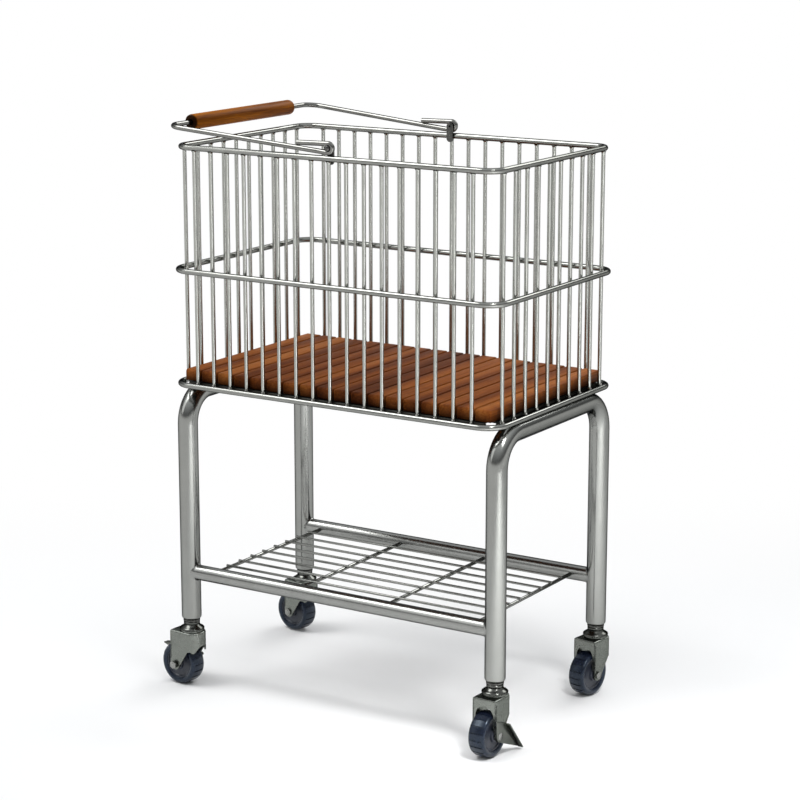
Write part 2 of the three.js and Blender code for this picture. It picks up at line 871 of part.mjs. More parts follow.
function addCaster({ name, sideX, sideY, trailTurn }) {
  const leg = new THREE.Group();
  leg.position.set(sideX * legX, sideY * legY, 0);
  cart.add(leg);
  add(name + "_socket", socketGeometry(), finishes.darkZinc(), leg);
  add(name + "_stem", stemGeometry(), finishes.darkZinc(), leg);

  const swivel = new THREE.Group();
  swivel.rotation.z = THREE.MathUtils.degToRad(trailTurn);
  leg.add(swivel);
  add(name + "_fork", forkGeometry(), finishes.zinc(), swivel);

  const wheel = new THREE.Group();
  wheel.position.set(-casterTrail, 0, wheelCentreHeight);
  swivel.add(wheel);
  const braked = sideY < 0;
  const pressed = sideX > 0;
  const plainGrip = forkHalfWidth;
  const leverGrip = forkHalfWidth + seatGap + leverSheet;
  const lowGrip = braked && pressed ? leverGrip : plainGrip;
  const highGrip = braked && !pressed ? leverGrip : plainGrip;
  add(name + "_axle", axleGeometry(lowGrip, highGrip), finishes.zinc(), wheel);
  add(name + "_hub", hubGeometry(), finishes.hub(), wheel);
  add(name + "_tyre", tyreGeometry(), finishes.tyre(), wheel);
  if (!braked) return;
  const lever = add(name + "_brake_lever", leverGeometry(), finishes.zinc(), wheel);
  const cheekY = forkHalfWidth + seatGap + leverSheet / 2;
  lever.position.y = pressed ? -cheekY : cheekY;
  const turn = THREE.MathUtils.degToRad(pressed ? leverPressedTurn : -leverReleasedTurn);
  lever.rotation.set(0, turn, pressed ? 0 : Math.PI, "ZYX");
}

addHoops();
addPickets();
addSlats();
addBail();
addLegFrames();
addRails();
addShelf();
casterPlaces.forEach(addCaster);

// The cart's origin is the middle of its bounding box, on the floor.
const box = new THREE.Box3().setFromObject(cart, true);
const middle = box.getCenter(new THREE.Vector3());
cart.position.set(-middle.x, -middle.y, -box.min.z);

export default cart;
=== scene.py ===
from math import asin, atan2, cos, hypot, pi, radians, sin, sqrt, tan

import bmesh
import bpy
from mathutils import Matrix, Vector


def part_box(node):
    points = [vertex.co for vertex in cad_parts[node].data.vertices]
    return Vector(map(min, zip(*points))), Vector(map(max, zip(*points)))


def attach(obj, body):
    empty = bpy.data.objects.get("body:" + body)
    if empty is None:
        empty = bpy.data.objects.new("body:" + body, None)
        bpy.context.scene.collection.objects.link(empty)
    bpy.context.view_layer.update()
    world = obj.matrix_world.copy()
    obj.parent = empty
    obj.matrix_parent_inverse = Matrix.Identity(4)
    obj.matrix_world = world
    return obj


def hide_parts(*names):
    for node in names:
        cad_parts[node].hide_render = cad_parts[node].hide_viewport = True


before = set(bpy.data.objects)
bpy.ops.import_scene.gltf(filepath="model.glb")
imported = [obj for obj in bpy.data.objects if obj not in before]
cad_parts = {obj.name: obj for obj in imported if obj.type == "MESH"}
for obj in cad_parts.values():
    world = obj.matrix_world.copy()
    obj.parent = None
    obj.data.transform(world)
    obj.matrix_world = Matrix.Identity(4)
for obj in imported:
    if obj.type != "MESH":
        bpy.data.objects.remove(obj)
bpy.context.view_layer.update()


# The cart's middle
# The leg frames stand evenly about it, while the swivelled casters reach further on some sides.
# The cart's lengths are in millimetres until a piece is put in its place, and the rest in metres.
MM = 0.001
middle = (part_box("left_leg_frame")[0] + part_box("right_leg_frame")[1]) / 2
middle.z = 0


# Camera
# A long lens, a little above the rim, looking at the right front corner.
CAMERA_TURN = radians(32.27)
CAMERA_RISE = radians(12.86)
CAMERA_DISTANCE = 3.375
TARGET_RIGHT = 0.0101
TARGET_HEIGHT = 0.4262
LENS = 107.8
SENSOR_WIDTH = 36
across = Vector((cos(CAMERA_TURN), sin(CAMERA_TURN), 0))
backward = Matrix.Rotation(-CAMERA_RISE, 3, across) @ Vector((across.y, -across.x, 0))
target = middle + across * TARGET_RIGHT + Vector((0, 0, TARGET_HEIGHT))
placed = Matrix((across, backward.cross(across), backward)).transposed().to_4x4()
placed.translation = target + backward * CAMERA_DISTANCE
camera_data = bpy.data.cameras.new("camera")
camera_data.lens = LENS
camera_data.sensor_width = SENSOR_WIDTH
camera = bpy.data.objects.new("camera", camera_data)
camera.matrix_world = placed
bpy.context.scene.collection.objects.link(camera)
bpy.context.scene.camera = camera
bpy.context.scene.view_settings.view_transform = "Standard"


# Floor and studio light
# A pale floor that runs out of sight, a white surround, and four large soft lamps.
FLOOR_REACH = 40
FLOOR_COLOR = (0.9, 0.9, 0.9, 1)


def lamp(name, place, size, power, aim, spread=180):
    data = bpy.data.lights.new(name, "AREA")
    data.spread = radians(spread)
    data.shape = "RECTANGLE"
    data.size, data.size_y = size
    data.energy = power
    light = bpy.data.objects.new(name, data)
    light.location = place
    light.rotation_euler = (aim - Vector(place)).to_track_quat("-Z", "Y").to_euler()
    bpy.context.scene.collection.objects.link(light)


def reckoned(tree, operation, *values):
    """A sum of values, each a number or another node's output."""
    node = tree.nodes.new("ShaderNodeMath")
    node.operation = operation
    for socket, value in zip(node.inputs, values):
        if isinstance(value, (int, float)):
            socket.default_value = value
        else:
            tree.links.new(value, socket)
    return node.outputs[0]


def spread_range(tree, value, low, high, start=0.3, end=0.7, easing="LINEAR"):
    """Takes a value from start..end to low..high."""
    node = tree.nodes.new("ShaderNodeMapRange")
    node.interpolation_type = easing
    node.inputs["From Min"].default_value = start
    node.inputs["From Max"].default_value = end
    node.inputs["To Min"].default_value = low
    node.inputs["To Max"].default_value = high
    tree.links.new(value, node.inputs["Value"])
    return node.outputs["Result"]


basket_middle = middle + Vector((0, 0, 0.45))
beside_cart = middle + Vector((1.5, -0.85, 0))
lamp("left_lamp", (-2.2, -2.0, 2.2), size=(1.6, 2.4), power=14, aim=basket_middle)
lamp("right_lamp", (1.9, -1.08, 1.9), size=(0.4, 2.0), power=20, aim=beside_cart, spread=60)
lamp("top_lamp", (-1.2, -0.8, 2.6), size=(1.3, 1.1), power=13, aim=basket_middle, spread=120)
lamp("back_lamp", (0.4, 2.8, 2.5), size=(2.2, 1.0), power=12, aim=basket_middle, spread=100)

world = bpy.data.worlds.new("studio")
world.use_nodes = True
bpy.context.scene.world = world
sky = world.node_tree
sky.nodes.clear()
out = sky.nodes.new("ShaderNodeOutputWorld")
seen = sky.nodes.new("ShaderNodeBackground")
seen.inputs["Color"].default_value = (1, 1, 1, 1)
seen.inputs["Strength"].default_value = 1.0
lit = sky.nodes.new("ShaderNodeBackground")
lit.inputs["Color"].default_value = (0.96, 0.98, 1, 1)
direction = sky.nodes.new("ShaderNodeSeparateXYZ")
sky.links.new(sky.nodes.new("ShaderNodeTexCoord").outputs["Generated"], direction.inputs[0])
upward = direction.outputs["Z"]
strength = spread_range(sky, upward, low=0.12, high=0.85, start=0.2, end=0.8)
sky.links.new(strength, lit.inputs["Strength"])
low_band = spread_range(sky, upward, low=1, high=0, start=0.06, end=0.2, easing="SMOOTHSTEP")
path = sky.nodes.new("ShaderNodeLightPath").outputs
mirrored_low = reckoned(sky, "MULTIPLY", path["Is Glossy Ray"], low_band)
looked_at = reckoned(sky, "MAXIMUM", path["Is Camera Ray"], path["Is Transmission Ray"])
pick = sky.nodes.new("ShaderNodeMixShader")
sky.links.new(reckoned(sky, "MAXIMUM", looked_at, mirrored_low), pick.inputs["Fac"])
sky.links.new(lit.outputs[0], pick.inputs[1])
sky.links.new(seen.outputs[0], pick.inputs[2])
sky.links.new(pick.outputs[0], out.inputs["Surface"])

floor_mesh = bpy.data.meshes.new("floor")
bm = bmesh.new()
bmesh.ops.create_grid(bm, x_segments=1, y_segments=1, size=FLOOR_REACH)
bm.to_mesh(floor_mesh)
bm.free()
floor = bpy.data.objects.new("floor", floor_mesh)
bpy.context.scene.collection.objects.link(floor)
floor_paint = bpy.data.materials.new("pale_floor")
floor_paint.use_nodes = True
ground = floor_paint.node_tree
floor_shader = ground.nodes["Principled BSDF"]
floor_shader.inputs["Base Color"].default_value = FLOOR_COLOR
floor_shader.inputs["Roughness"].default_value = 0.9
floor_shader.inputs["Specular IOR Level"].default_value = 0.1
far_white = ground.nodes.new("ShaderNodeEmission")
far_white.inputs["Strength"].default_value = 1.0
spot = ground.nodes.new("ShaderNodeTexCoord").outputs["Object"]
fades = []
for heading, near in ((CAMERA_TURN + pi / 2, 0.1), (CAMERA_TURN - radians(150), 0.5)):
    span = ground.nodes.new("ShaderNodeVectorMath")
    span.operation = "DOT_PRODUCT"
    span.inputs[1].default_value = (cos(heading), sin(heading), 0)
    ground.links.new(spot, span.inputs[0])
    reach = span.outputs["Value"]
    fades.append(spread_range(ground, reach, 0, 1, start=near, end=1.1, easing="SMOOTHSTEP"))
from_cart = ground.nodes.new("ShaderNodeVectorMath")
from_cart.operation = "LENGTH"
ground.links.new(spot, from_cart.inputs[0])
reach = from_cart.outputs["Value"]
far = spread_range(ground, reach, 0, 1, start=2.3, end=3.2, easing="SMOOTHSTEP")
faded = reckoned(ground, "MAXIMUM", far, reckoned(ground, "MAXIMUM", *fades))
rays = ground.nodes.new("ShaderNodeLightPath").outputs
seen_ray = reckoned(ground, "MAXIMUM", rays["Is Camera Ray"], rays["Is Glossy Ray"])
clear_ray = reckoned(ground, "MAXIMUM", seen_ray, rays["Is Transmission Ray"])
blend = ground.nodes.new("ShaderNodeMixShader")
ground.links.new(reckoned(ground, "MULTIPLY", clear_ray, faded), blend.inputs["Fac"])
ground.links.new(floor_shader.outputs[0], blend.inputs[1])
ground.links.new(far_white.outputs[0], blend.inputs[2])
ground.links.new(blend.outputs[0], ground.nodes["Material Output"].inputs["Surface"])
floor_mesh.materials.append(floor_paint)


# Top rim
# A closed ring of thick polished stainless wire, bent at four corners and butt-welded to itself
# in its back run.
BASKET_LENGTH = 510
BASKET_WIDTH = 316
RIM_CORNER = 22
RIM_WIRE = 4.1
LONG_SIDE_PICKETS = 17
HOOP_SIDES = 20
BEND_STEP = radians(9)
MERGE_REACH = 0.01
STEEL_CLOUDS = (38, 38, 38)
# Painted reflection: a near-black specular tint darkens every metal's edges, standing in for dark
# surroundings mirrored there.
PAINTED_DARK_EDGE_TINT = (0.08, 0.08, 0.09, 1)


def box_of(solid):
    """The low and high corners of a solid in the frame, in millimetres from the cart's middle."""
    return [(corner - middle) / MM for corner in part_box(solid)]


def centre_of(solid):
    low, high = box_of(solid)
    return (low + high) / 2


def new_material(name, color, metallic, roughness):
    """A material with one Principled shader, and an Object coordinate for its patterns."""
    material = bpy.data.materials.new(name)
    material.use_nodes = True
    tree = material.node_tree
    shader = tree.nodes["Principled BSDF"]
    shader.inputs["Base Color"].default_value = (*color, 1)
    shader.inputs["Metallic"].default_value = metallic
    shader.inputs["Roughness"].default_value = roughness
    # The metals' dark edges are painted reflection from this near-black specular tint.
    if metallic:
        shader.inputs["Specular Tint"].default_value = PAINTED_DARK_EDGE_TINT
    place = tree.nodes.new("ShaderNodeTexCoord").outputs["Object"]
    return material, tree, shader, place


def noise(tree, place, stretch, detail=3.0, roughness=0.55):
    """A noise pattern whose grains are stretch times smaller than a metre along each axis."""
    mapping = tree.nodes.new("ShaderNodeMapping")
    mapping.inputs["Scale"].default_value = stretch
    pattern = tree.nodes.new("ShaderNodeTexNoise")
    pattern.inputs["Scale"].default_value = 1
    pattern.inputs["Detail"].default_value = detail
    pattern.inputs["Roughness"].default_value = roughness
    tree.links.new(place, mapping.inputs["Vector"])
    tree.links.new(mapping.outputs["Vector"], pattern.inputs["Vector"])
    return pattern.outputs["Fac"]


def colours(tree, value, stops):
    ramp = tree.nodes.new("ShaderNodeValToRGB")
    while len(ramp.color_ramp.elements) < len(stops):
        ramp.color_ramp.elements.new(0.5)
    for element, (position, color) in zip(ramp.color_ramp.elements, stops):
        element.position = position
        element.color = (*color, 1)
    tree.links.new(value, ramp.inputs["Fac"])
    return ramp.outputs["Color"]


def bumped(tree, shader, height, distance, strength=1.0):
    bump = tree.nodes.new("ShaderNodeBump")
    bump.inputs["Distance"].default_value = distance
    bump.inputs["Strength"].default_value = strength
    tree.links.new(height, bump.inputs["Height"])
    tree.links.new(bump.outputs["Normal"], shader.inputs["Normal"])


def polished_steel(name, dark, light, roughness, grain, depth=0.00001):
    """Steel with cloudy polish marks in its colour, and a fine grain in its gloss and surface."""
    material, tree, shader, place = new_material(name, light, 1, roughness[0])
    clouds = noise(tree, place, STEEL_CLOUDS)
    marks = noise(tree, place, grain, 2)
    tint = colours(tree, clouds, [(0.3, dark), (0.7, light)])
    tree.links.new(tint, shader.inputs["Base Color"])
    tree.links.new(spread_range(tree, marks, *roughness), shader.inputs["Roughness"])
    bumped(tree, shader, marks, depth)
    return material


def extruded(bm, ring, move):
    """Extrudes a ring of edges along a move; returns the new ring and its vertices."""
    made = bmesh.ops.extrude_edge_only(bm, edges=ring)["geom"]
    fresh = [item for item in made if isinstance(item, bmesh.types.BMVert)]
    bmesh.ops.translate(bm, verts=fresh, vec=move)
    ends = set(fresh)
    drawn = [item for item in made if isinstance(item, bmesh.types.BMEdge)]
    return [edge for edge in drawn if set(edge.verts) <= ends], fresh


def wire_rings(start, heading, moves, radius, sides):
    """A bent wire. It starts as a circle and is extruded along straight moves, each a length,
    and spun round bends, each a radius, an angle and the direction to the bend's centre."""
    bm = bmesh.new()
    bmesh.ops.create_circle(bm, radius=radius, segments=sides)
    facing = Vector((0, 0, 1)).rotation_difference(heading).to_matrix()
    bmesh.ops.rotate(bm, verts=bm.verts, cent=(0, 0, 0), matrix=facing)
    bmesh.ops.translate(bm, verts=bm.verts, vec=start)
    ring = bm.edges[:]
    here = start
    for move in moves:
        if isinstance(move, (int, float)):
            ring = extruded(bm, ring, heading * move)[0]
            here = here + heading * move
            continue
        bend, angle, side = move
        centre = here + side * bend
        axis = heading.cross(side)
        steps = max(2, round(angle / BEND_STEP))
        made = bmesh.ops.spin(bm, geom=ring, cent=centre, axis=axis, angle=angle, steps=steps)
        ring = [item for item in made["geom_last"] if isinstance(item, bmesh.types.BMEdge)]
        swing = Matrix.Rotation(angle, 3, axis)
        here = centre + swing @ (here - centre)
        heading = swing @ heading
    return bm


def finished(bm, name, material, body, slot, *nodes, angle=40):
    """Makes the piece from its mesh in millimetres about the cart's middle, attaches it to its
    body, and hides the solids it stands for.
    """
    bmesh.ops.recalc_face_normals(bm, faces=bm.faces)
    bmesh.ops.scale(bm, verts=bm.verts, vec=(MM, MM, MM))
    bmesh.ops.translate(bm, verts=bm.verts, vec=middle)
    for face in bm.faces:
        face.smooth = True
    for edge in bm.edges:
        if len(edge.link_faces) == 2 and edge.calc_face_angle(0) > radians(angle):
            edge.smooth = False
    mesh = bpy.data.meshes.new(name)
    bm.to_mesh(mesh)
    bm.free()
    mesh.materials.append(material)
    piece = bpy.data.objects.new(name, mesh)
    bpy.context.scene.collection.objects.link(piece)
    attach(piece, body)
    if nodes:
        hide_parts(*nodes)


def ring_moves(half_x, half_y, corner, joint_x):
    """The way round a hoop from a joint in its back run, towards -X first."""
    long_run = 2 * (half_x - corner)
    end_run = 2 * (half_y - corner)
    quarter = pi / 2
    return [
        joint_x + half_x - corner,
        (corner, quarter, Vector((0, -1, 0))),
        end_run,
        (corner, quarter, Vector((1, 0, 0))),
        long_run,
        (corner, quarter, Vector((0, 1, 0))),
        end_run,
        (corner, quarter, Vector((-1, 0, 0))),
        half_x - corner - joint_x,
    ]


def hoop(reach, height, radius):
    """A ring of wire that runs outside the rim's centreline by the reach."""
    joint_x = (1 - LONG_SIDE_PICKETS / 2) * picket_pitch
    half_x = half_length + reach
    half_y = half_width + reach
    start = Vector((joint_x, half_y, height))
    moves = ring_moves(half_x, half_y, RIM_CORNER + reach, joint_x)
    bm = wire_rings(start, Vector((-1, 0, 0)), moves, radius, HOOP_SIDES)
    bmesh.ops.remove_doubles(bm, verts=bm.verts, dist=MERGE_REACH)
    return bm


wire_steel = polished_steel(
    "wire_steel",
    dark=(0.25, 0.254, 0.238),
    light=(0.29, 0.294, 0.276),
    roughness=(0.14, 0.19),
    grain=(900, 900, 900),
    depth=0.000004,
)
half_length = BASKET_LENGTH / 2
half_width = BASKET_WIDTH / 2
picket_pitch = centre_of("slat_02").x - centre_of("slat_01").x
rim_height = centre_of("top_rim").z
finished(hoop(0, rim_height, RIM_WIRE), "rim_wire", wire_steel, "cart", "wire_steel", "top_rim")


# Middle and bottom hoops
# The same wire as the rim, a little larger in plan, welded round the outside of the uprights.
HOOP_WIRE = 4
HOOP_REACH = 7.05
for level in ("middle", "bottom"):
    hoop_solid = level + "_hoop"
    finished(
        hoop(HOOP_REACH, centre_of(hoop_solid).z, HOOP_WIRE),
        hoop_solid + "_wire",
        wire_steel,
        "cart",
        "wire_steel",
        hoop_solid,
    )


# Uprights
# Straight wires welded up to the underside of the rim, 17 on a long side and 10 on an end, with
# a bearer rod welded along the inside of their feet, and a thin strip on it that the slats are
# screwed to from below. Rod and strip are near black: painted shade, standing in for the shadow
# under the slats.
PICKET_WIRE = 2.75
PICKET_SIDES = 14
FOOT_EASING = 0.7
FOOT_SHARE = 0.75
WELD_FLARE = ((1.4, 1.12), (1.1, 1.3))
WELD_SINK = 0.1
END_PITCH = 30.3
END_PICKETS = 10
SEAT_GAP = 0.3
BEARER_WIRE = 3
BEARER_INSET = 4.55
BEARER_END = 15
STRIP_WIDTH = 12
STRIP_THICKNESS = 2.4
STRIP_END = 18
STRIP_GAP = 0.34
STRIP_EASING = 0.4
ROD_EASING = 0.6
picket_foot = box_of("front_pickets")[0].z
picket_top = rim_height - RIM_WIRE + WELD_SINK
slat_underside = box_of("slat_01")[0].z
bearer_height = slat_underside - SEAT_GAP - BEARER_WIRE
strip_top = slat_underside - STRIP_GAP


def spaced(count, pitch):
    return [(i - (count - 1) / 2) * pitch for i in range(count)]


def side_offset(along, half_side, half_across):
    """How far out an upright stands, which is less where the rim turns its corner."""
    past = max(0, abs(along) - (half_side - RIM_CORNER))
    return half_across - RIM_CORNER + sqrt(RIM_CORNER**2 - past**2)


def eased(bm, edges, offset, segments=2):
    """Rounds some edges of a piece."""
    return bmesh.ops.bevel(
        bm,
        geom=edges,
        offset=offset,
        segments=segments,
        profile=0.5,
        affect="EDGES",
        material=-1,
    )


def swung(bm, angle, axis, verts=None):
    """Turns a piece, or some of its vertices, about an axis through its origin."""
    swing = Matrix.Rotation(angle, 3, axis)
    bmesh.ops.rotate(bm, verts=verts or bm.verts, cent=(0, 0, 0), matrix=swing)


def drawn_on(bm, ring, heading, centre, steps):
    """Draws a ring on in steps, each a length and how much the ring grows, and caps it."""
    about = Matrix.Translation(-centre)
    for length, growth in steps:
        ring, fresh = extruded(bm, ring, heading * length)
        bmesh.ops.scale(bm, verts=fresh, vec=(growth, growth, 1), space=about)
    bmesh.ops.contextual_create(bm, geom=ring)


def round_rod(bm, start, end, radius, sides=14):
    """A straight rod with eased ends, added to a mesh."""
    start, end = Vector(start), Vector(end)
    run = end - start
    made = bmesh.ops.create_cone(
        bm, cap_ends=True, segments=sides, radius1=radius, radius2=radius, depth=run.length
    )["verts"]
    caps = [f for f in {f for v in made for f in v.link_faces} if len(f.verts) == sides]
    rounded = eased(bm, list({e for f in caps for e in f.edges}), ROD_EASING)["verts"]
    made = list(set([v for v in made if v.is_valid] + rounded))
    facing = Vector((0, 0, 1)).rotation_difference(run.normalized()).to_matrix()
    bmesh.ops.rotate(bm, verts=made, cent=(0, 0, 0), matrix=facing)
    bmesh.ops.translate(bm, verts=made, vec=(start + end) / 2)


def block(bm, low, high):
    """A rectangular bar between two corners, added to a mesh; returns its edges."""
    verts = bmesh.ops.create_cube(bm, size=1)["verts"]
    bmesh.ops.scale(bm, verts=verts, vec=high - low)
    bmesh.ops.translate(bm, verts=verts, vec=(low + high) / 2)
    return list({e for v in verts for e in v.link_edges})


def picket_side(count, pitch, half_side, half_across):
    """The uprights of the side at -Y."""
    straight = picket_top - picket_foot - FOOT_EASING - sum(rise for rise, growth in WELD_FLARE)
    steps = ((FOOT_EASING, 1 / FOOT_SHARE), (straight, 1), *WELD_FLARE)
    bm = bmesh.new()
    for along in spaced(count, pitch):
        foot = Vector((along, -side_offset(along, half_side, half_across), picket_foot))
        made = bmesh.ops.create_circle(bm, radius=PICKET_WIRE * FOOT_SHARE, segments=PICKET_SIDES)
        bmesh.ops.translate(bm, verts=made["verts"], vec=foot)
        ring = list({e for v in made["verts"] for e in v.link_edges})
        bmesh.ops.contextual_create(bm, geom=ring)
        drawn_on(bm, ring, Vector((0, 0, 1)), foot, steps)
    return bm


def bearer_side(bearer_half, strip_half, half_across):
    """The bearer rod of the side at -Y, with the strip on it."""
    bm = bmesh.new()
    rod_y = BEARER_INSET - half_across
    rod_end = Vector((bearer_half, rod_y, bearer_height))
    round_rod(bm, rod_end * Vector((-1, 1, 1)), rod_end, BEARER_WIRE)
    strip_low = Vector((-strip_half, rod_y, strip_top - STRIP_THICKNESS))
    strip_high = Vector((strip_half, rod_y + STRIP_WIDTH, strip_top))
    eased(bm, block(bm, strip_low, strip_high), STRIP_EASING)
    return bm


# Painted light: the uprights' steel is a lighter copy of the rim's wire steel, standing in for the
# light they catch.
painted_light_picket_steel = polished_steel(
    "painted_light_picket_steel",
    dark=(0.37, 0.376, 0.352),
    light=(0.42, 0.427, 0.4),
    roughness=(0.15, 0.2),
    grain=(700, 700, 60),
    depth=0.000003,
)
# Painted shade: the bearer rods and strips are near-black steel, standing in for the shadow under
# the slats.
painted_shade_bearer_steel = polished_steel(
    "painted_shade_bearer_steel",
    dark=(0.02, 0.02, 0.018),
    light=(0.045, 0.045, 0.04),
    roughness=(0.4, 0.5),
    grain=(600, 600, 600),
)
end_bearer = (END_PICKETS - 1) * END_PITCH / 2 + BEARER_WIRE
long_pickets = (LONG_SIDE_PICKETS, picket_pitch, half_length, half_width)
long_bearer = (half_length - BEARER_END, half_length - STRIP_END, half_width)
end_pickets = (END_PICKETS, END_PITCH, half_width, half_length)
end_bearers = (end_bearer, end_bearer, half_length)
basket_sides = (
    ("front", long_pickets, long_bearer),
    ("right", end_pickets, end_bearers),
    ("back", long_pickets, long_bearer),
    ("left", end_pickets, end_bearers),
)
for quarter_turns, (side_name, pickets, bearer) in enumerate(basket_sides):
    bm = picket_side(*pickets)
    swung(bm, quarter_turns * pi / 2, "Z")
    finished(
        bm,
        side_name + "_uprights",
        painted_light_picket_steel,
        "cart",
        "wire_steel",
        side_name + "_pickets",
    )
    bm = bearer_side(*bearer)
    swung(bm, quarter_turns * pi / 2, "Z")
    finished(bm, side_name + "_bearer", painted_shade_bearer_steel, "cart", "wire_steel")


# Weld beads on the hoops
# Each upright is spot-welded to the inside of both hoops, which leaves a small duller bead.
WELD_BEAD = (2.1, 1.6, 4.4)
BEAD_LIFT = {"middle": 0, "bottom": 1}


def bead(bm, place, size):
    """A bead of weld, added to a mesh; returns its vertices."""
    verts = bmesh.ops.create_icosphere(bm, subdivisions=1, radius=1)["verts"]
    bmesh.ops.scale(bm, verts=verts, vec=size)
    bmesh.ops.translate(bm, verts=verts, vec=place)
    return verts


weld_steel = polished_steel(
    "weld_steel",
    dark=(0.3, 0.29, 0.28),
    light=(0.5, 0.49, 0.47),
    roughness=(0.3, 0.5),
    grain=(1500, 1500, 1500),
)
for level, lift in BEAD_LIFT.items():
    height = centre_of(level + "_hoop").z + lift
    bm = bmesh.new()
    for quarter_turns, (side_name, pickets, bearer) in enumerate(basket_sides):
        count, pitch, half_side, half_across = pickets
        for along in spaced(count, pitch):
            out = side_offset(along, half_side, half_across) + PICKET_WIRE
            verts = bead(bm, (along, -out, height), WELD_BEAD)
            swung(bm, quarter_turns * pi / 2, "Z", verts)
    finished(bm, level + "_hoop_welds", weld_steel, "cart", "wire_steel", angle=180)


# Slatted floor
# Eighteen hardwood slats laid across the basket on the bearer rods, oiled red-brown, with eased
# edges and sloped ends; the uprights stand in the gaps between their ends.
SLAT_SLOPE = 4
SLAT_EASING = 1.3
# Painted shade: between these heights the slats darken towards their undersides, standing in for
# the shadow in the gaps.
PAINTED_SHADE_FROM = 0.457
PAINTED_SHADE_TO = 0.4702
SLAT_BROWNS = [
    (0.2, (0.05, 0.012, 0.0025)),
    (0.42, (0.135, 0.033, 0.0055)),
    (0.6, (0.24, 0.068, 0.012)),
    (0.8, (0.36, 0.12, 0.026)),
]


def dimmed(tree, tint, share):
    """A colour that is darkened by a share."""
    node = tree.nodes.new("ShaderNodeVectorMath")
    node.operation = "SCALE"
    tree.links.new(tint, node.inputs[0])
    tree.links.new(share, node.inputs["Scale"])
    return node.outputs[0]


def slat_wood_material():
    """Oiled hardwood. It differs from board to board, and has painted shade towards its underside
    that stands in for the shadow in the gaps.
    """
    material, tree, shader, place = new_material("slat_wood", (0.3, 0.12, 0.05), 0, 0.5)
    board = noise(tree, place, (34, 1.2, 3), 0)
    grain = noise(tree, place, (420, 9, 420), 4, 0.6)
    pores = noise(tree, place, (1500, 55, 1500), 2, 0.5)
    boards = spread_range(tree, board, 0.06, 0.45, start=0.25, end=0.75)
    tint = colours(tree, reckoned(tree, "MULTIPLY_ADD", grain, 0.55, boards), SLAT_BROWNS)
    split = tree.nodes.new("ShaderNodeSeparateXYZ")
    tree.links.new(place, split.inputs[0])
    # Painted shade towards the underside, standing in for the shadow between the slats.
    shade = spread_range(tree, split.outputs["Z"], 0.3, 1, start=PAINTED_SHADE_FROM, end=PAINTED_SHADE_TO)
    tree.links.new(dimmed(tree, tint, shade), shader.inputs["Base Color"])
    tree.links.new(spread_range(tree, pores, 0.42, 0.62), shader.inputs["Roughness"])
    shader.inputs["Specular IOR Level"].default_value = 0.05
    bumped(tree, shader, grain, 0.0003, 0.7)
    return material


slat_wood = slat_wood_material()
for count in range(1, LONG_SIDE_PICKETS + 2):
    slat = f"slat_{count:02d}"
    low, high = box_of(slat)
    bm = bmesh.new()
    crosswise = [e for e in block(bm, low, high) if abs(e.verts[0].co.y - e.verts[1].co.y) < 1]
    middle_height = (low.z + high.z) / 2
    top_ends = [e for e in crosswise if min(v.co.z for v in e.verts) > middle_height]
    eased(bm, top_ends, SLAT_SLOPE, segments=4)
    sharp = [e for e in bm.edges if e.calc_face_angle(0) > radians(50)]
    eased(bm, sharp, SLAT_EASING, segments=3)
    finished(bm, "floor_" + slat, slat_wood, "cart", "slat_wood", slat, angle=60)


# Bail handle
# One bent wire. At each end it turns round a pivot pin in an eye, and its tail is folded back
# above the arm; the arms rise a little to the crossbar.
BAIL_WIRE = 3.5
BAIL_SIDES = 18
EYE_RADIUS = 6
TAIL_LENGTH = 50
TAIL_RISE = radians(1.363)
NECK_LENGTH = 15
NECK_STRAIGHT = 14
NECK_BEND = 40
BAIL_SPREAD = 15
BAIL_CORNER = 20
BAIL_MERGE_REACH = 0.05
TAB_HALF = 5.2
bail_reach = -centre_of("bail_grip").x
crossbar_height = centre_of("bail_grip").z
pivot_height = box_of("front_bail_pivot")[1].z - TAB_HALF


def bail_half():
    """From the tail's end at the front to the middle of the crossbar. Seen from the side, the arm
    is one straight line from the crossbar to the underside of the eye."""
    climb = crossbar_height - pivot_height
    lift = atan2(climb, bail_reach) + asin(EYE_RADIUS / hypot(climb, bail_reach))
    spread = atan2(BAIL_SPREAD, bail_reach - NECK_LENGTH)
    arm_length = sqrt(climb**2 + bail_reach**2 - EYE_RADIUS**2)
    spread_length = arm_length - NECK_STRAIGHT - NECK_BEND * sin(spread)
    crossbar_half = half_width + NECK_BEND * (1 - cos(spread)) + spread_length * tan(spread)
    corner_turn = pi / 2 + spread
    corner_reach = BAIL_CORNER * tan(corner_turn / 2)
    along_tail = Vector((cos(TAIL_RISE), 0, sin(TAIL_RISE)))
    to_pin = Vector((sin(TAIL_RISE), 0, -cos(TAIL_RISE)))
    outward = Vector((0, -1, 0))
    arm = Vector((-cos(lift), 0, sin(lift))) * cos(spread) + outward * sin(spread)
    inward = (arm * sin(spread) - outward).normalized()
    moves = [
        TAIL_LENGTH,
        (EYE_RADIUS, pi + TAIL_RISE + lift, to_pin),
        NECK_STRAIGHT,
        (NECK_BEND, spread, outward),
        spread_length / cos(spread) - corner_reach,
        (BAIL_CORNER, corner_turn, inward),
        crossbar_half - corner_reach,
    ]
    pin = Vector((0, -half_width, pivot_height))
    start = pin - to_pin * EYE_RADIUS - along_tail * TAIL_LENGTH
    return wire_rings(start, along_tail, moves, BAIL_WIRE, BAIL_SIDES)


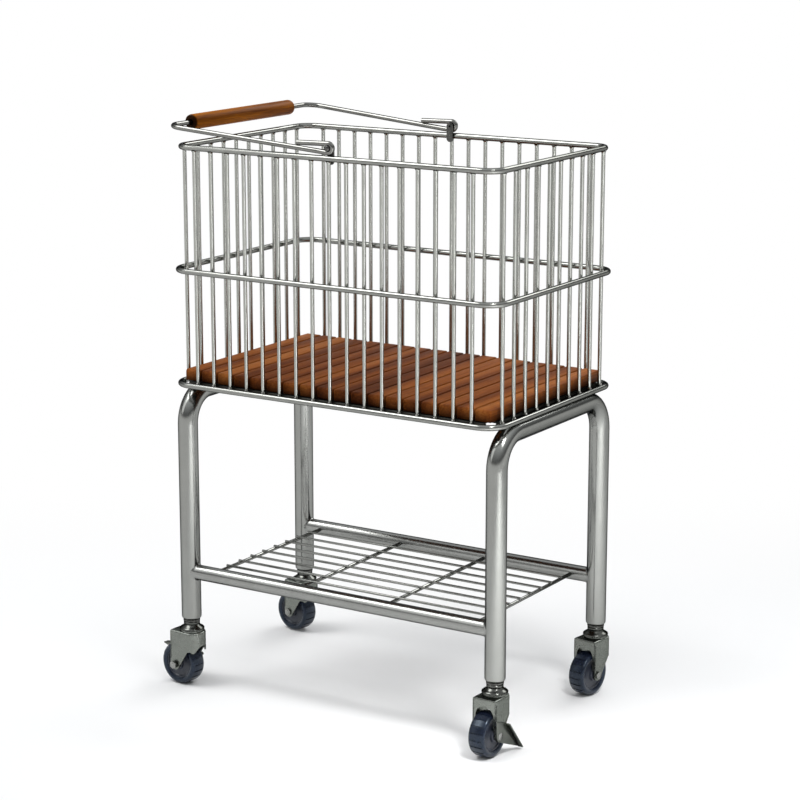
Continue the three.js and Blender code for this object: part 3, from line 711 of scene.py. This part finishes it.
# Painted shade: the bail's steel is a darker copy of the rim's wire steel.
painted_shade_bail_steel = polished_steel(
    "painted_shade_bail_steel",
    dark=(0.2, 0.2, 0.188),
    light=(0.25, 0.25, 0.235),
    roughness=(0.14, 0.19),
    grain=(60, 900, 900),
    depth=0.000004,
)
bm = bail_half()
whole = bm.verts[:] + bm.edges[:] + bm.faces[:]
bmesh.ops.mirror(bm, geom=whole, axis="Y", merge_dist=BAIL_MERGE_REACH)
bmesh.ops.remove_doubles(bm, verts=bm.verts, dist=BAIL_MERGE_REACH)
bmesh.ops.holes_fill(bm, edges=[e for e in bm.edges if e.is_boundary])
finished(bm, "bail_handle_wire", painted_shade_bail_steel, "bail", "wire_steel", "bail_wire")


# Grip
# A turned wooden sleeve on the crossbar, varnished orange-brown; it is free to turn on the wire.
GRIP_RADIUS = 10.8
GRIP_BORE = 3.8
GRIP_SIDES = 40
END_TINT_FROM = 0.1165
END_TINT_TO = 0.1192
GRIP_BROWNS = [
    (0.15, (0.1, 0.024, 0.001)),
    (0.45, (0.28, 0.084, 0.004)),
    (0.8, (0.43, 0.145, 0.01)),
]
grip_half = box_of("bail_grip")[1].y
grip_end = [
    (GRIP_BORE, grip_half - 1.2),
    (GRIP_BORE + 0.8, grip_half),
    (GRIP_RADIUS - 3, grip_half),
    (GRIP_RADIUS - 1.5, grip_half - 0.5),
    (GRIP_RADIUS - 0.5, grip_half - 1.7),
    (GRIP_RADIUS, grip_half - 4),
]


def both_ends(end_profile, *between):
    """The outline of a turned piece whose two ends are alike, from the outline of one end."""
    return [(radius, -along) for radius, along in end_profile] + [*between] + end_profile[::-1]


def turned(profile, steps, axis):
    """A turned piece: a profile of points, each a radius and a place along the axis, spun once."""
    bm = bmesh.new()
    points = [bm.verts.new((radius, 0, along)) for radius, along in profile]
    lines = [bm.edges.new(pair) for pair in zip(points, points[1:])]
    if profile[0][0] > 0 and profile[-1][0] > 0:
        lines.append(bm.edges.new((points[-1], points[0])))
    bmesh.ops.spin(
        bm,
        geom=points + lines,
        cent=(0, 0, 0),
        axis=(0, 0, 1),
        angle=2 * pi,
        steps=steps,
        use_merge=True,
    )
    bmesh.ops.remove_doubles(bm, verts=bm.verts, dist=0.001)
    if axis == "Y":
        swung(bm, -pi / 2, "X")
    return bm


def grip_wood_material():
    """Varnished wood with its grain along the grip, and bare dark end grain."""
    material, tree, shader, place = new_material("grip_wood", (0.3, 0.1, 0.02), 0, 0.4)
    flow = noise(tree, place, (90, 5, 90), 3, 0.5)
    grain = noise(tree, place, (700, 16, 700), 3, 0.6)
    flows = spread_range(tree, flow, 0.0, 0.5)
    tint = colours(tree, reckoned(tree, "MULTIPLY_ADD", grain, 0.45, flows), GRIP_BROWNS)
    split = tree.nodes.new("ShaderNodeSeparateXYZ")
    tree.links.new(place, split.inputs[0])
    along = reckoned(tree, "SUBTRACT", split.outputs["Y"], middle.y)
    from_middle = reckoned(tree, "ABSOLUTE", along)
    shade = spread_range(tree, from_middle, 1, 0.06, start=END_TINT_FROM, end=END_TINT_TO)
    tree.links.new(dimmed(tree, tint, shade), shader.inputs["Base Color"])
    tree.links.new(spread_range(tree, grain, 0.34, 0.5), shader.inputs["Roughness"])
    shader.inputs["Specular IOR Level"].default_value = 0.04
    bumped(tree, shader, grain, 0.00015, 0.6)
    return material


bm = turned(both_ends(grip_end), GRIP_SIDES, "Y")
bmesh.ops.translate(bm, verts=bm.verts, vec=(-bail_reach, 0, crossbar_height))
finished(bm, "wooden_grip", grip_wood_material(), "grip", "grip_wood", "bail_grip")


# Bail pivots
# At each side a round-topped steel tab is welded inside the rim, and a rivet through it holds
# the bail's eye.
TAB_THICKNESS = 2.5
TAB_ROOT = 3.5
TAB_EASING = 0.5
PIN_RADIUS = 2.2
RIVET_GAP = 0.35
RIVET_SIDES = 24
PLATE_SIDES = 32
FLAT_ANGLE = 0.01
rivet_head = [(0, 0), (4.2, 0), (4.2, 0.5), (3.7, 1.3), (2.5, 1.95), (1.2, 2.25), (0, 2.35)]


def convex_plate(rounds, thickness, easing):
    """A flat plate in the XZ plane, centred on y 0. Its outline is drawn tight round the given
    rounds, each an x, a z and a radius."""
    bm = bmesh.new()
    for x, z, radius in rounds:
        made = bmesh.ops.create_circle(bm, radius=radius, segments=PLATE_SIDES)["verts"]
        bmesh.ops.translate(bm, verts=made, vec=(x, z, 0))
    hull = bmesh.ops.convex_hull(bm, input=bm.verts)
    spare = set(hull["geom_interior"] + hull["geom_unused"])
    bmesh.ops.delete(bm, geom=list(spare), context="VERTS")
    bmesh.ops.dissolve_limit(bm, angle_limit=FLAT_ANGLE, verts=bm.verts, edges=bm.edges)
    made = bmesh.ops.extrude_face_region(bm, geom=bm.faces[:])["geom"]
    lifted = [item for item in made if isinstance(item, bmesh.types.BMVert)]
    bmesh.ops.translate(bm, verts=lifted, vec=(0, 0, thickness))
    bmesh.ops.translate(bm, verts=bm.verts, vec=(0, 0, -thickness / 2))
    bmesh.ops.recalc_face_normals(bm, faces=bm.faces)
    eased(bm, [e for e in bm.edges if e.calc_face_angle(0) > radians(60)], easing)
    swung(bm, pi / 2, "X")
    return bm


def joined_on(bm, other):
    """Adds another mesh to a piece."""
    held = bpy.data.meshes.new("joined_on")
    other.to_mesh(held)
    other.free()
    bm.from_mesh(held)
    bpy.data.meshes.remove(held)


dark_zinc = polished_steel(
    "dark_zinc",
    dark=(0.07, 0.07, 0.066),
    light=(0.13, 0.13, 0.123),
    roughness=(0.18, 0.3),
    grain=(600, 600, 600),
)
tab_y = half_width - RIM_WIRE - SEAT_GAP - TAB_THICKNESS / 2
rivet_y = half_width + BAIL_WIRE + RIVET_GAP
tab_root = rim_height - TAB_ROOT - pivot_height
for side_name, side in (("front", -1), ("back", 1)):
    bm = convex_plate([(0, 0, TAB_HALF), (0, tab_root, TAB_HALF)], TAB_THICKNESS, TAB_EASING)
    bmesh.ops.translate(bm, verts=bm.verts, vec=(0, side * tab_y, pivot_height))
    inner = Vector((0, side * (tab_y - TAB_THICKNESS / 2), pivot_height))
    outer = Vector((0, side * rivet_y, pivot_height))
    round_rod(bm, inner, outer, PIN_RADIUS)
    head = turned(rivet_head, RIVET_SIDES, "Z")
    swung(head, -side * pi / 2, "X")
    bmesh.ops.translate(head, verts=head.verts, vec=outer)
    joined_on(bm, head)
    finished(
        bm,
        side_name + "_pivot_tab",
        dark_zinc,
        "cart",
        "wire_steel",
        side_name + "_bail_pivot",
    )


# Leg frames
# Two pieces of satin-polished stainless tube, each bent into an upside-down U under one end of
# the basket; their lower ends are spun in to hold the caster sockets.
LEG_TUBE = 14.3
LEG_BEND = 45
LEG_SIDES = 40
SPUN_LENGTH = 4.5
SPUN_STEPS = ((1.6, 0.985), (1.4, 0.955), (0.9, 0.93), (0.6, 0.9), (0, 0.86), (-2, 1))
tube_steel = polished_steel(
    "tube_steel",
    dark=(0.285, 0.29, 0.275),
    light=(0.305, 0.31, 0.295),
    roughness=(0.17, 0.2),
    grain=(500, 500, 200),
    depth=0.000003,
)
upward = Vector((0, 0, 1))
leg_x = centre_of("right_leg_frame").x
leg_y = centre_of("back_rail").y
bar_height = picket_foot - SEAT_GAP - LEG_TUBE
spun_from = box_of("left_leg_frame")[0].z + SPUN_LENGTH
leg_run = bar_height - LEG_BEND - spun_from
leg_moves = [
    leg_run,
    (LEG_BEND, pi / 2, Vector((0, 1, 0))),
    2 * (leg_y - LEG_BEND),
    (LEG_BEND, pi / 2, -upward),
    leg_run,
]
for side_name, side in (("left", -1), ("right", 1)):
    start = Vector((side * leg_x, -leg_y, spun_from))
    bm = wire_rings(start, upward, leg_moves, LEG_TUBE, LEG_SIDES)
    for foot_y in (-leg_y, leg_y):
        ring = [e for e in bm.edges if e.is_boundary and e.verts[0].co.y * foot_y > 0]
        drawn_on(bm, ring, -upward, Vector((side * leg_x, foot_y, 0)), SPUN_STEPS)
    finished(
        bm,
        side_name + "_leg_tube",
        tube_steel,
        "cart",
        "tube_steel",
        side_name + "_leg_frame",
        angle=50,
    )


# Rails
# A straight tube along each long side, coped to the legs and welded all round.
RAIL_TUBE = 11
RAIL_SIDES = 36
RAIL_FLARE = ((1.14, -1.2), (1.13, 0.2), (1.08, 1.1), (1.02, 2.0), (1.0, 3.2))
SADDLE_SINK = 0.6
rail_steel = polished_steel(
    "rail_steel",
    dark=(0.29, 0.294, 0.281),
    light=(0.33, 0.334, 0.32),
    roughness=(0.2, 0.28),
    grain=(25, 500, 500),
)
rail_height = centre_of("front_rail").z
right_half = [(growth, leg_x - past) for growth, past in RAIL_FLARE]
rail_rings = right_half + [(growth, -x) for growth, x in reversed(right_half)]
for side_name, side in (("front", -1), ("back", 1)):
    bm = bmesh.new()
    fresh = bmesh.ops.create_circle(bm, radius=RAIL_TUBE, segments=RAIL_SIDES)["verts"]
    swung(bm, pi / 2, "Y")
    ring = bm.edges[:]
    for step, (growth, x) in enumerate(rail_rings):
        if step > 0:
            ring, fresh = extruded(bm, ring, (0, 0, 0))
        for vert in fresh:
            radial = Vector((0, vert.co.y, vert.co.z)).normalized() * RAIL_TUBE * growth
            saddle = sqrt(LEG_TUBE**2 - min(radial.y**2, LEG_TUBE**2)) - SADDLE_SINK
            vert.co = Vector((x - saddle if x > 0 else x + saddle, radial.y, radial.z))
    bmesh.ops.holes_fill(bm, edges=[e for e in bm.edges if e.is_boundary])
    bmesh.ops.translate(bm, verts=bm.verts, vec=(0, side * leg_y, rail_height))
    finished(
        bm,
        side_name + "_rail_tube",
        rail_steel,
        "cart",
        "tube_steel",
        side_name + "_rail",
    )


# Wire shelf
# Four cross wires between the rails with eight thinner long wires welded on top of them.
CROSSBARS = 4
CROSSBAR_WIRE = 2.6
CROSSBAR_GAP = 0.1
SHELF_WIRES = 8
SHELF_WIRE = 1.8
SHELF_WIRE_SIDES = 12
SHELF_WELD_DEPTH = 1.2
SHELF_BEAD = (2.9, 2.5, 1.7)
SHELF_BEAD_SINK = 0.2
shelf_wire_half = box_of("shelf_grid")[1].x
crossbar_spacing = 2 * (shelf_wire_half - CROSSBAR_WIRE) / (CROSSBARS - 1)
crossbar_half = leg_y - RAIL_TUBE - CROSSBAR_GAP
crossbar_top = rail_height + CROSSBAR_WIRE
wire_height = crossbar_top + SHELF_WIRE - SHELF_WELD_DEPTH
wire_ys = spaced(SHELF_WIRES, 2 * (leg_y - RAIL_TUBE - SEAT_GAP) / (SHELF_WIRES + 1))
bm = bmesh.new()
for x in spaced(CROSSBARS, crossbar_spacing):
    near_end, far_end = (Vector((x, side * crossbar_half, rail_height)) for side in (-1, 1))
    round_rod(bm, near_end, far_end, CROSSBAR_WIRE)
    for y in wire_ys:
        bead(bm, (x, y, crossbar_top - SHELF_BEAD_SINK), SHELF_BEAD)
for y in wire_ys:
    left_end, right_end = (Vector((side * shelf_wire_half, y, wire_height)) for side in (-1, 1))
    round_rod(bm, left_end, right_end, SHELF_WIRE, SHELF_WIRE_SIDES)
finished(bm, "shelf_wires", wire_steel, "cart", "wire_steel", "shelf_grid", angle=60)


# Caster sockets
# A dark zinc bush is pressed into the mouth of each leg, with a flange below it. Each caster
# is drawn with its swivel axis at zero and its wheel trailing towards -X, and then placed.
CORNERS = ("front_left", "front_right", "back_left", "back_right")
SOCKET_SIDES = 40
socket_profile = [
    (5.7, 97.4),
    (11.2, 97.4),
    (12, 98),
    (12, 100.2),
    (11.6, 100.7),
    (11.2, 101.2),
    (11.2, 127.4),
    (10.6, 128),
    (5.7, 128),
]


def at_corner(bm, corner, trails=True):
    """Puts a caster's piece in its place; those that swivel trail as the frame's wheel does."""
    place = centre_of(corner + "_socket")
    if trails:
        from_wheel = place - centre_of(corner + "_tyre")
        swung(bm, atan2(from_wheel.y, from_wheel.x), "Z")
    bmesh.ops.translate(bm, verts=bm.verts, vec=(place.x, place.y, 0))
    return bm


for corner in CORNERS:
    finished(
        at_corner(turned(socket_profile, SOCKET_SIDES, "Z"), corner, trails=False),
        corner + "_leg_bush",
        dark_zinc,
        "cart",
        "caster_dark",
        corner + "_socket",
    )


# Caster stems
# A steel stem with a bright collar and a bell-shaped cup that covers the balls of the swivel
# race; its headed lower end holds the fork.
STEM_SIDES = 48
stem_profile = [
    (0, 77.4),
    (8.4, 77.4),
    (9, 78),
    (9, 79.6),
    (8.6, 80),
    (5.4, 80),
    (5.4, 85.3),
    (17.6, 85.3),
    (18, 85.6),
    (18, 86.7),
    (17.5, 87.5),
    (16.2, 88.4),
    (14, 89.7),
    (12.5, 90.9),
    (11.7, 91.9),
    (11.2, 92.3),
    (11.2, 92.8),
    (11.6, 93.3),
    (11.6, 96.3),
    (11, 97),
    (5.4, 97),
    (5.4, 133),
    (4.6, 134),
    (0, 134),
]
cup_steel = polished_steel(
    "cup_steel",
    dark=(0.07, 0.072, 0.066),
    light=(0.12, 0.123, 0.114),
    roughness=(0.14, 0.22),
    grain=(400, 400, 400),
    depth=0.000003,
)
for corner in CORNERS:
    finished(
        at_corner(turned(stem_profile, STEM_SIDES, "Z"), corner, trails=False),
        corner + "_stem_and_cup",
        cup_steel,
        "cart",
        "caster_dark",
        corner + "_stem",
    )


# Caster forks
# Pressed from one zinc-plated sheet: a crown, two side plates with round axle ends, a front
# skirt with pointed corners, and a back wall with an arch for the tyre.
FORK_TOP = 82.5
FORK_HALF = 18.5
FORK_REAR = -26
FORK_SHEET = 2.2
FORK_SIDE_FRONT = 8
FORK_CORNER = (14.5, 13.5)
FORK_NOSE = (20, 5.5)
FORK_BEND = 2.8
NOTCH_HEIGHT = 56
EAR_HEIGHT = 50.5
FRONT_HEIGHT = 62
FORK_FOOT = 23.5
FOOT_FRONT = -13.7
FOOT_FRONT_ROUND = 4.2
FOOT_REAR_ROUND = 7.9
ARCH_HALF = 14
ARCH_SPRING = 58
ARCH_FOOT = 39.5
ARCH_SIDES = 32
AXLE_X = -18
AXLE_HEIGHT = 31.5
race_profile = [
    (5.8, 82),
    (16.3, 82),
    (16.5, 82.6),
    (16.5, 83.8),
    (16, 84.7),
    (15.2, 85),
    (5.8, 85),
]


def fork_sheet():
    """The outside of the pressed sheet, as one skin."""
    half_plan = [(FORK_REAR, FORK_HALF), (FORK_SIDE_FRONT, FORK_HALF), FORK_CORNER, FORK_NOSE]
    plan = half_plan + [(x, -y) for x, y in reversed(half_plan)]
    bm = bmesh.new()
    crown = bm.faces.new([bm.verts.new((x, y, FORK_TOP)) for x, y in plan])
    skirt = [e for e in crown.edges if max(v.co.x for v in e.verts) > FORK_REAR + 1]
    lower, fresh = extruded(bm, skirt, (0, 0, NOTCH_HEIGHT - FORK_TOP))
    for vert in fresh:
        if vert.co.x > FORK_NOSE[0] - 1:
            vert.co.z = FRONT_HEIGHT
        elif vert.co.x > FORK_SIDE_FRONT + 1:
            vert.co.z = EAR_HEIGHT
    ends = [e for e in lower if max(v.co.x for v in e.verts) < FORK_SIDE_FRONT + 1]
    fresh = extruded(bm, ends, (0, 0, FORK_FOOT - NOTCH_HEIGHT))[1]
    for vert in fresh:
        vert.co.x = FOOT_FRONT if vert.co.x > 0 else FORK_REAR
    for vert in fresh:
        reach = FOOT_FRONT_ROUND if vert.co.x > FORK_REAR + 1 else FOOT_REAR_ROUND
        bmesh.ops.bevel(
            bm,
            geom=[vert],
            offset=reach,
            segments=6,
            profile=0.5,
            affect="VERTICES",
            material=-1,
        )
    return bm


def fork_arch(bm):
    """The back wall, from the edge of its arch out to the crown and the side plates."""
    made = bmesh.ops.create_circle(bm, radius=ARCH_HALF, segments=ARCH_SIDES)["verts"]
    swung(bm, pi / 2, "Y", made)
    bmesh.ops.delete(bm, geom=[v for v in made if v.co.z < -0.01], context="VERTS")
    arch = [v for v in made if v.is_valid]
    bmesh.ops.translate(bm, verts=arch, vec=(FORK_REAR, 0, ARCH_SPRING))
    feet = [v for v in arch if len(v.link_edges) == 1]
    legs = bmesh.ops.extrude_vert_indiv(bm, verts=feet)["verts"]
    bmesh.ops.translate(bm, verts=legs, vec=(0, 0, ARCH_FOOT - ARCH_SPRING))
    inner = list({e for v in arch + legs for e in v.link_edges})
    for vert in extruded(bm, inner, (0, 0, 0))[1]:
        rise = vert.co.z - ARCH_SPRING
        if rise <= abs(vert.co.y) * (FORK_TOP - ARCH_SPRING) / FORK_HALF:
            stretch = FORK_HALF / abs(vert.co.y)
            vert.co.z = ARCH_SPRING + rise * (stretch if rise > 0 else 1)
            vert.co.y *= stretch
        else:
            vert.co.y *= (FORK_TOP - ARCH_SPRING) / rise
            vert.co.z = FORK_TOP


zinc_plate = polished_steel(
    "zinc_plate",
    dark=(0.19, 0.202, 0.183),
    light=(0.22, 0.233, 0.212),
    roughness=(0.26, 0.3),
    grain=(260, 260, 260),
    depth=0.000002,
)
for corner in CORNERS:
    bm = fork_sheet()
    fork_arch(bm)
    bmesh.ops.remove_doubles(bm, verts=bm.verts, dist=0.05)
    bmesh.ops.recalc_face_normals(bm, faces=bm.faces)
    eased(bm, [e for e in bm.edges if e.calc_face_angle(0) > radians(15)], FORK_BEND, segments=4)
    bmesh.ops.solidify(bm, geom=bm.faces[:], thickness=FORK_SHEET)
    joined_on(bm, turned(race_profile, STEM_SIDES, "Z"))
    finished(
        at_corner(bm, corner),
        corner + "_fork_plate",
        zinc_plate,
        corner + "_swivel",
        "caster_zinc",
        corner + "_fork",
        angle=30,
    )


# Axles
# A bolt through the fork's round ends, with a hexagon head on one side and a nut on the other;
# the two front ones are longer at one end.
AXLE_RADIUS = 3.2
AXLE_SIDES = 20
THREAD_END = 0.4
HEAD_ACROSS = 6
HEAD_THICKNESS = 2.6
HEAD_EASING = 0.4
LONGER_END = 2.3
axle_steel = polished_steel(
    "axle_steel",
    dark=(0.26, 0.265, 0.25),
    light=(0.36, 0.365, 0.35),
    roughness=(0.18, 0.32),
    grain=(900, 900, 900),
)


def hexagon_head(height):
    """A bolt's head or nut, with its middle at a height on the axis."""
    head = bmesh.new()
    bmesh.ops.create_cone(
        head,
        cap_ends=True,
        segments=6,
        radius1=HEAD_ACROSS,
        radius2=HEAD_ACROSS,
        depth=HEAD_THICKNESS,
    )
    eased(head, head.edges[:], HEAD_EASING)
    bmesh.ops.translate(head, verts=head.verts, vec=(0, 0, height))
    return head


for corner in CORNERS:
    to_head = to_nut = FORK_HALF + SEAT_GAP
    if corner == "front_left":
        to_nut += LONGER_END
    elif corner == "front_right":
        to_head += LONGER_END
    low = Vector((0, 0, -to_head - HEAD_THICKNESS))
    high = Vector((0, 0, to_nut + HEAD_THICKNESS + THREAD_END))
    bm = bmesh.new()
    round_rod(bm, low, high, AXLE_RADIUS, AXLE_SIDES)
    joined_on(bm, hexagon_head(-to_head - HEAD_THICKNESS / 2))
    joined_on(bm, hexagon_head(to_nut + HEAD_THICKNESS / 2))
    swung(bm, pi / 2, "X")
    bmesh.ops.translate(bm, verts=bm.verts, vec=(AXLE_X, 0, AXLE_HEIGHT))
    finished(
        at_corner(bm, corner),
        corner + "_axle_bolt",
        axle_steel,
        corner + "_swivel",
        "caster_zinc",
        corner + "_axle",
        angle=30,
    )


# Tyres
# Navy moulded rubber with rounded shoulders and shallow grooves across the tread.
TYRE_RADIUS = 31.5
TYRE_CORE = 22
TREAD_HALF = 9.5
TREAD_BLOCKS = 20
STEPS_PER_BLOCK = 5
GROOVE_HALF = 9.3
GROOVE_RADIUS = 30
GROOVE_DEPTH = 1.1
GROOVE_SLOPE = 0.35
tyre_side = [
    (TYRE_CORE, 10.8),
    (23.5, 11.6),
    (25.2, 12.3),
    (27.2, 12.5),
    (28.6, 12),
    (29.8, 10.9),
    (30.6, 9.4),
    (31.1, 7.6),
]


def tyre_rubber_material():
    """Dull navy rubber with fine scuffs."""
    material, tree, shader, place = new_material("tyre_rubber", (0.02, 0.03, 0.06), 0, 0.45)
    clouds = noise(tree, place, (60, 60, 60), 3)
    scuffs = noise(tree, place, (900, 900, 900), 3, 0.6)
    navy = [(0.3, (0.004, 0.006, 0.014)), (0.7, (0.009, 0.013, 0.028))]
    tree.links.new(colours(tree, clouds, navy), shader.inputs["Base Color"])
    tree.links.new(spread_range(tree, scuffs, 0.2, 0.32), shader.inputs["Roughness"])
    shader.inputs["Specular Tint"].default_value = (0.7, 0.85, 1, 1)
    bumped(tree, shader, scuffs, 0.0001, 0.6)
    return material


def tyre():
    """The turned tyre, with each tread block pressed flat and a groove cut between blocks."""
    outline = both_ends(tyre_side, (TYRE_RADIUS, 0))
    bm = turned(outline, TREAD_BLOCKS * STEPS_PER_BLOCK, "Y")
    bmesh.ops.recalc_face_normals(bm, faces=bm.faces)
    block_turn = 2 * pi / TREAD_BLOCKS
    step_turn = block_turn / STEPS_PER_BLOCK
    for vert in bm.verts:
        around = (atan2(vert.co.z, vert.co.x) - step_turn / 2) % block_turn - block_turn / 2
        if abs(vert.co.y) < TREAD_HALF:
            flat = cos(block_turn / 2) / cos(around)
            vert.co.x *= flat
            vert.co.z *= flat
    grooves = []
    for face in bm.faces:
        centre = face.calc_center_median()
        on_tread = abs(centre.y) < GROOVE_HALF and centre.xz.length > GROOVE_RADIUS
        if on_tread and atan2(centre.z, centre.x) // step_turn % STEPS_PER_BLOCK == 0:
            grooves.append(face)
    bmesh.ops.inset_region(bm, faces=grooves, thickness=GROOVE_SLOPE, depth=-GROOVE_DEPTH)
    return bm


tyre_rubber = tyre_rubber_material()
for corner in CORNERS:
    bm = tyre()
    bmesh.ops.translate(bm, verts=bm.verts, vec=(AXLE_X, 0, AXLE_HEIGHT))
    finished(
        at_corner(bm, corner),
        corner + "_rubber_tyre",
        tyre_rubber,
        corner + "_wheel",
        "tyre",
        corner + "_tyre",
        angle=35,
    )


# Wheel hubs
# A nylon disc moulded inside the tyre, dished on both faces round a boss that turns on the axle.
HUB_SIDES = 60
hub_face = [
    (3.5, 14),
    (7.8, 14),
    (8.6, 13.7),
    (9, 13),
    (9.4, 9.6),
    (10.6, 8.6),
    (18, 8.2),
    (19.2, 8.6),
    (19.8, 9.6),
    (20.2, 10.3),
    (21, 10.5),
    (21.7, 10.3),
]


def hub_nylon_material():
    """Grey-blue nylon with a fine moulded skin."""
    material, tree, shader, place = new_material("hub_nylon", (0.03, 0.035, 0.05), 0, 0.4)
    clouds = noise(tree, place, (120, 120, 120), 3)
    slates = [(0.3, (0.016, 0.02, 0.032)), (0.7, (0.034, 0.04, 0.056))]
    tree.links.new(colours(tree, clouds, slates), shader.inputs["Base Color"])
    tree.links.new(spread_range(tree, clouds, 0.32, 0.46), shader.inputs["Roughness"])
    bumped(tree, shader, noise(tree, place, (1400, 1400, 1400), 2), 0.00006, 0.5)
    return material


hub_nylon = hub_nylon_material()
for corner in CORNERS:
    bm = turned(both_ends(hub_face), HUB_SIDES, "Y")
    bmesh.ops.translate(bm, verts=bm.verts, vec=(AXLE_X, 0, AXLE_HEIGHT))
    finished(
        at_corner(bm, corner),
        corner + "_nylon_hub",
        hub_nylon,
        corner + "_wheel",
        "hub",
        corner + "_hub",
    )


# Brake levers
# A pressed zinc cheek on one side of each front caster, with a toe tab bent out along its edge.
# The left one is released; the right one is pressed, over on the other side of its wheel.
LEVER_SHEET = 2
LEVER_BOSS = 8
LEVER_REACH = 57
LEVER_SHOULDER = (5.5, 20.5)
LEVER_HEEL = (-18.5, 16)
LEVER_ROUND = 0.9
HEEL_ROUND = 2
CHEEK_EASING = 0.35
TAB_WIDTH = 6
TAB_ROUND = 0.55
TAB_EDGE_EASING = 0.5
released = Matrix.Rotation(pi, 3, "Z") @ Matrix.Rotation(radians(-13), 3, "Y")
pressed = Matrix.Rotation(radians(30), 3, "Y")
LEVER_SIDES = {"front_left": (1, released), "front_right": (-1, pressed)}
lever_zinc = polished_steel(
    "lever_zinc",
    dark=(0.12, 0.127, 0.115),
    light=(0.16, 0.168, 0.152),
    roughness=(0.28, 0.36),
    grain=(260, 260, 260),
    depth=0.000004,
)


def brake_lever():
    """The cheek in the XZ plane about its axle, and the tab along the edge from tip to shoulder."""
    tip = Vector((LEVER_REACH - LEVER_ROUND, 0, 0))
    shoulder = Vector((LEVER_SHOULDER[0], 0, LEVER_SHOULDER[1] - LEVER_ROUND))
    cheek_rounds = [
        (0, 0, LEVER_BOSS),
        (tip.x, tip.z, LEVER_ROUND),
        (shoulder.x, shoulder.z, LEVER_ROUND),
        (LEVER_HEEL[0] + HEEL_ROUND, LEVER_HEEL[1] - HEEL_ROUND, HEEL_ROUND),
    ]
    bm = convex_plate(cheek_rounds, LEVER_SHEET, CHEEK_EASING)
    along = (tip - shoulder).normalized()
    inward = Vector((along.z, 0, -along.x)) * (LEVER_SHEET - 2 * TAB_ROUND)
    corners = (tip, tip + inward, shoulder, shoulder + inward)
    tab_rounds = [(place.x, place.z, TAB_ROUND) for place in corners]
    tab = convex_plate(tab_rounds, LEVER_SHEET + TAB_WIDTH, TAB_EDGE_EASING)
    bmesh.ops.translate(tab, verts=tab.verts, vec=(0, -TAB_WIDTH / 2, 0))
    joined_on(bm, tab)
    return bm


for corner, (side, swing) in LEVER_SIDES.items():
    bm = brake_lever()
    bmesh.ops.rotate(bm, verts=bm.verts, cent=(0, 0, 0), matrix=swing)
    out = side * (FORK_HALF + SEAT_GAP + LEVER_SHEET / 2)
    bmesh.ops.translate(bm, verts=bm.verts, vec=(AXLE_X, out, AXLE_HEIGHT))
    finished(
        at_corner(bm, corner),
        corner + "_brake_cheek",
        lever_zinc,
        corner + "_brake",
        "caster_zinc",
        corner + "_brake_lever",
        angle=30,
    )
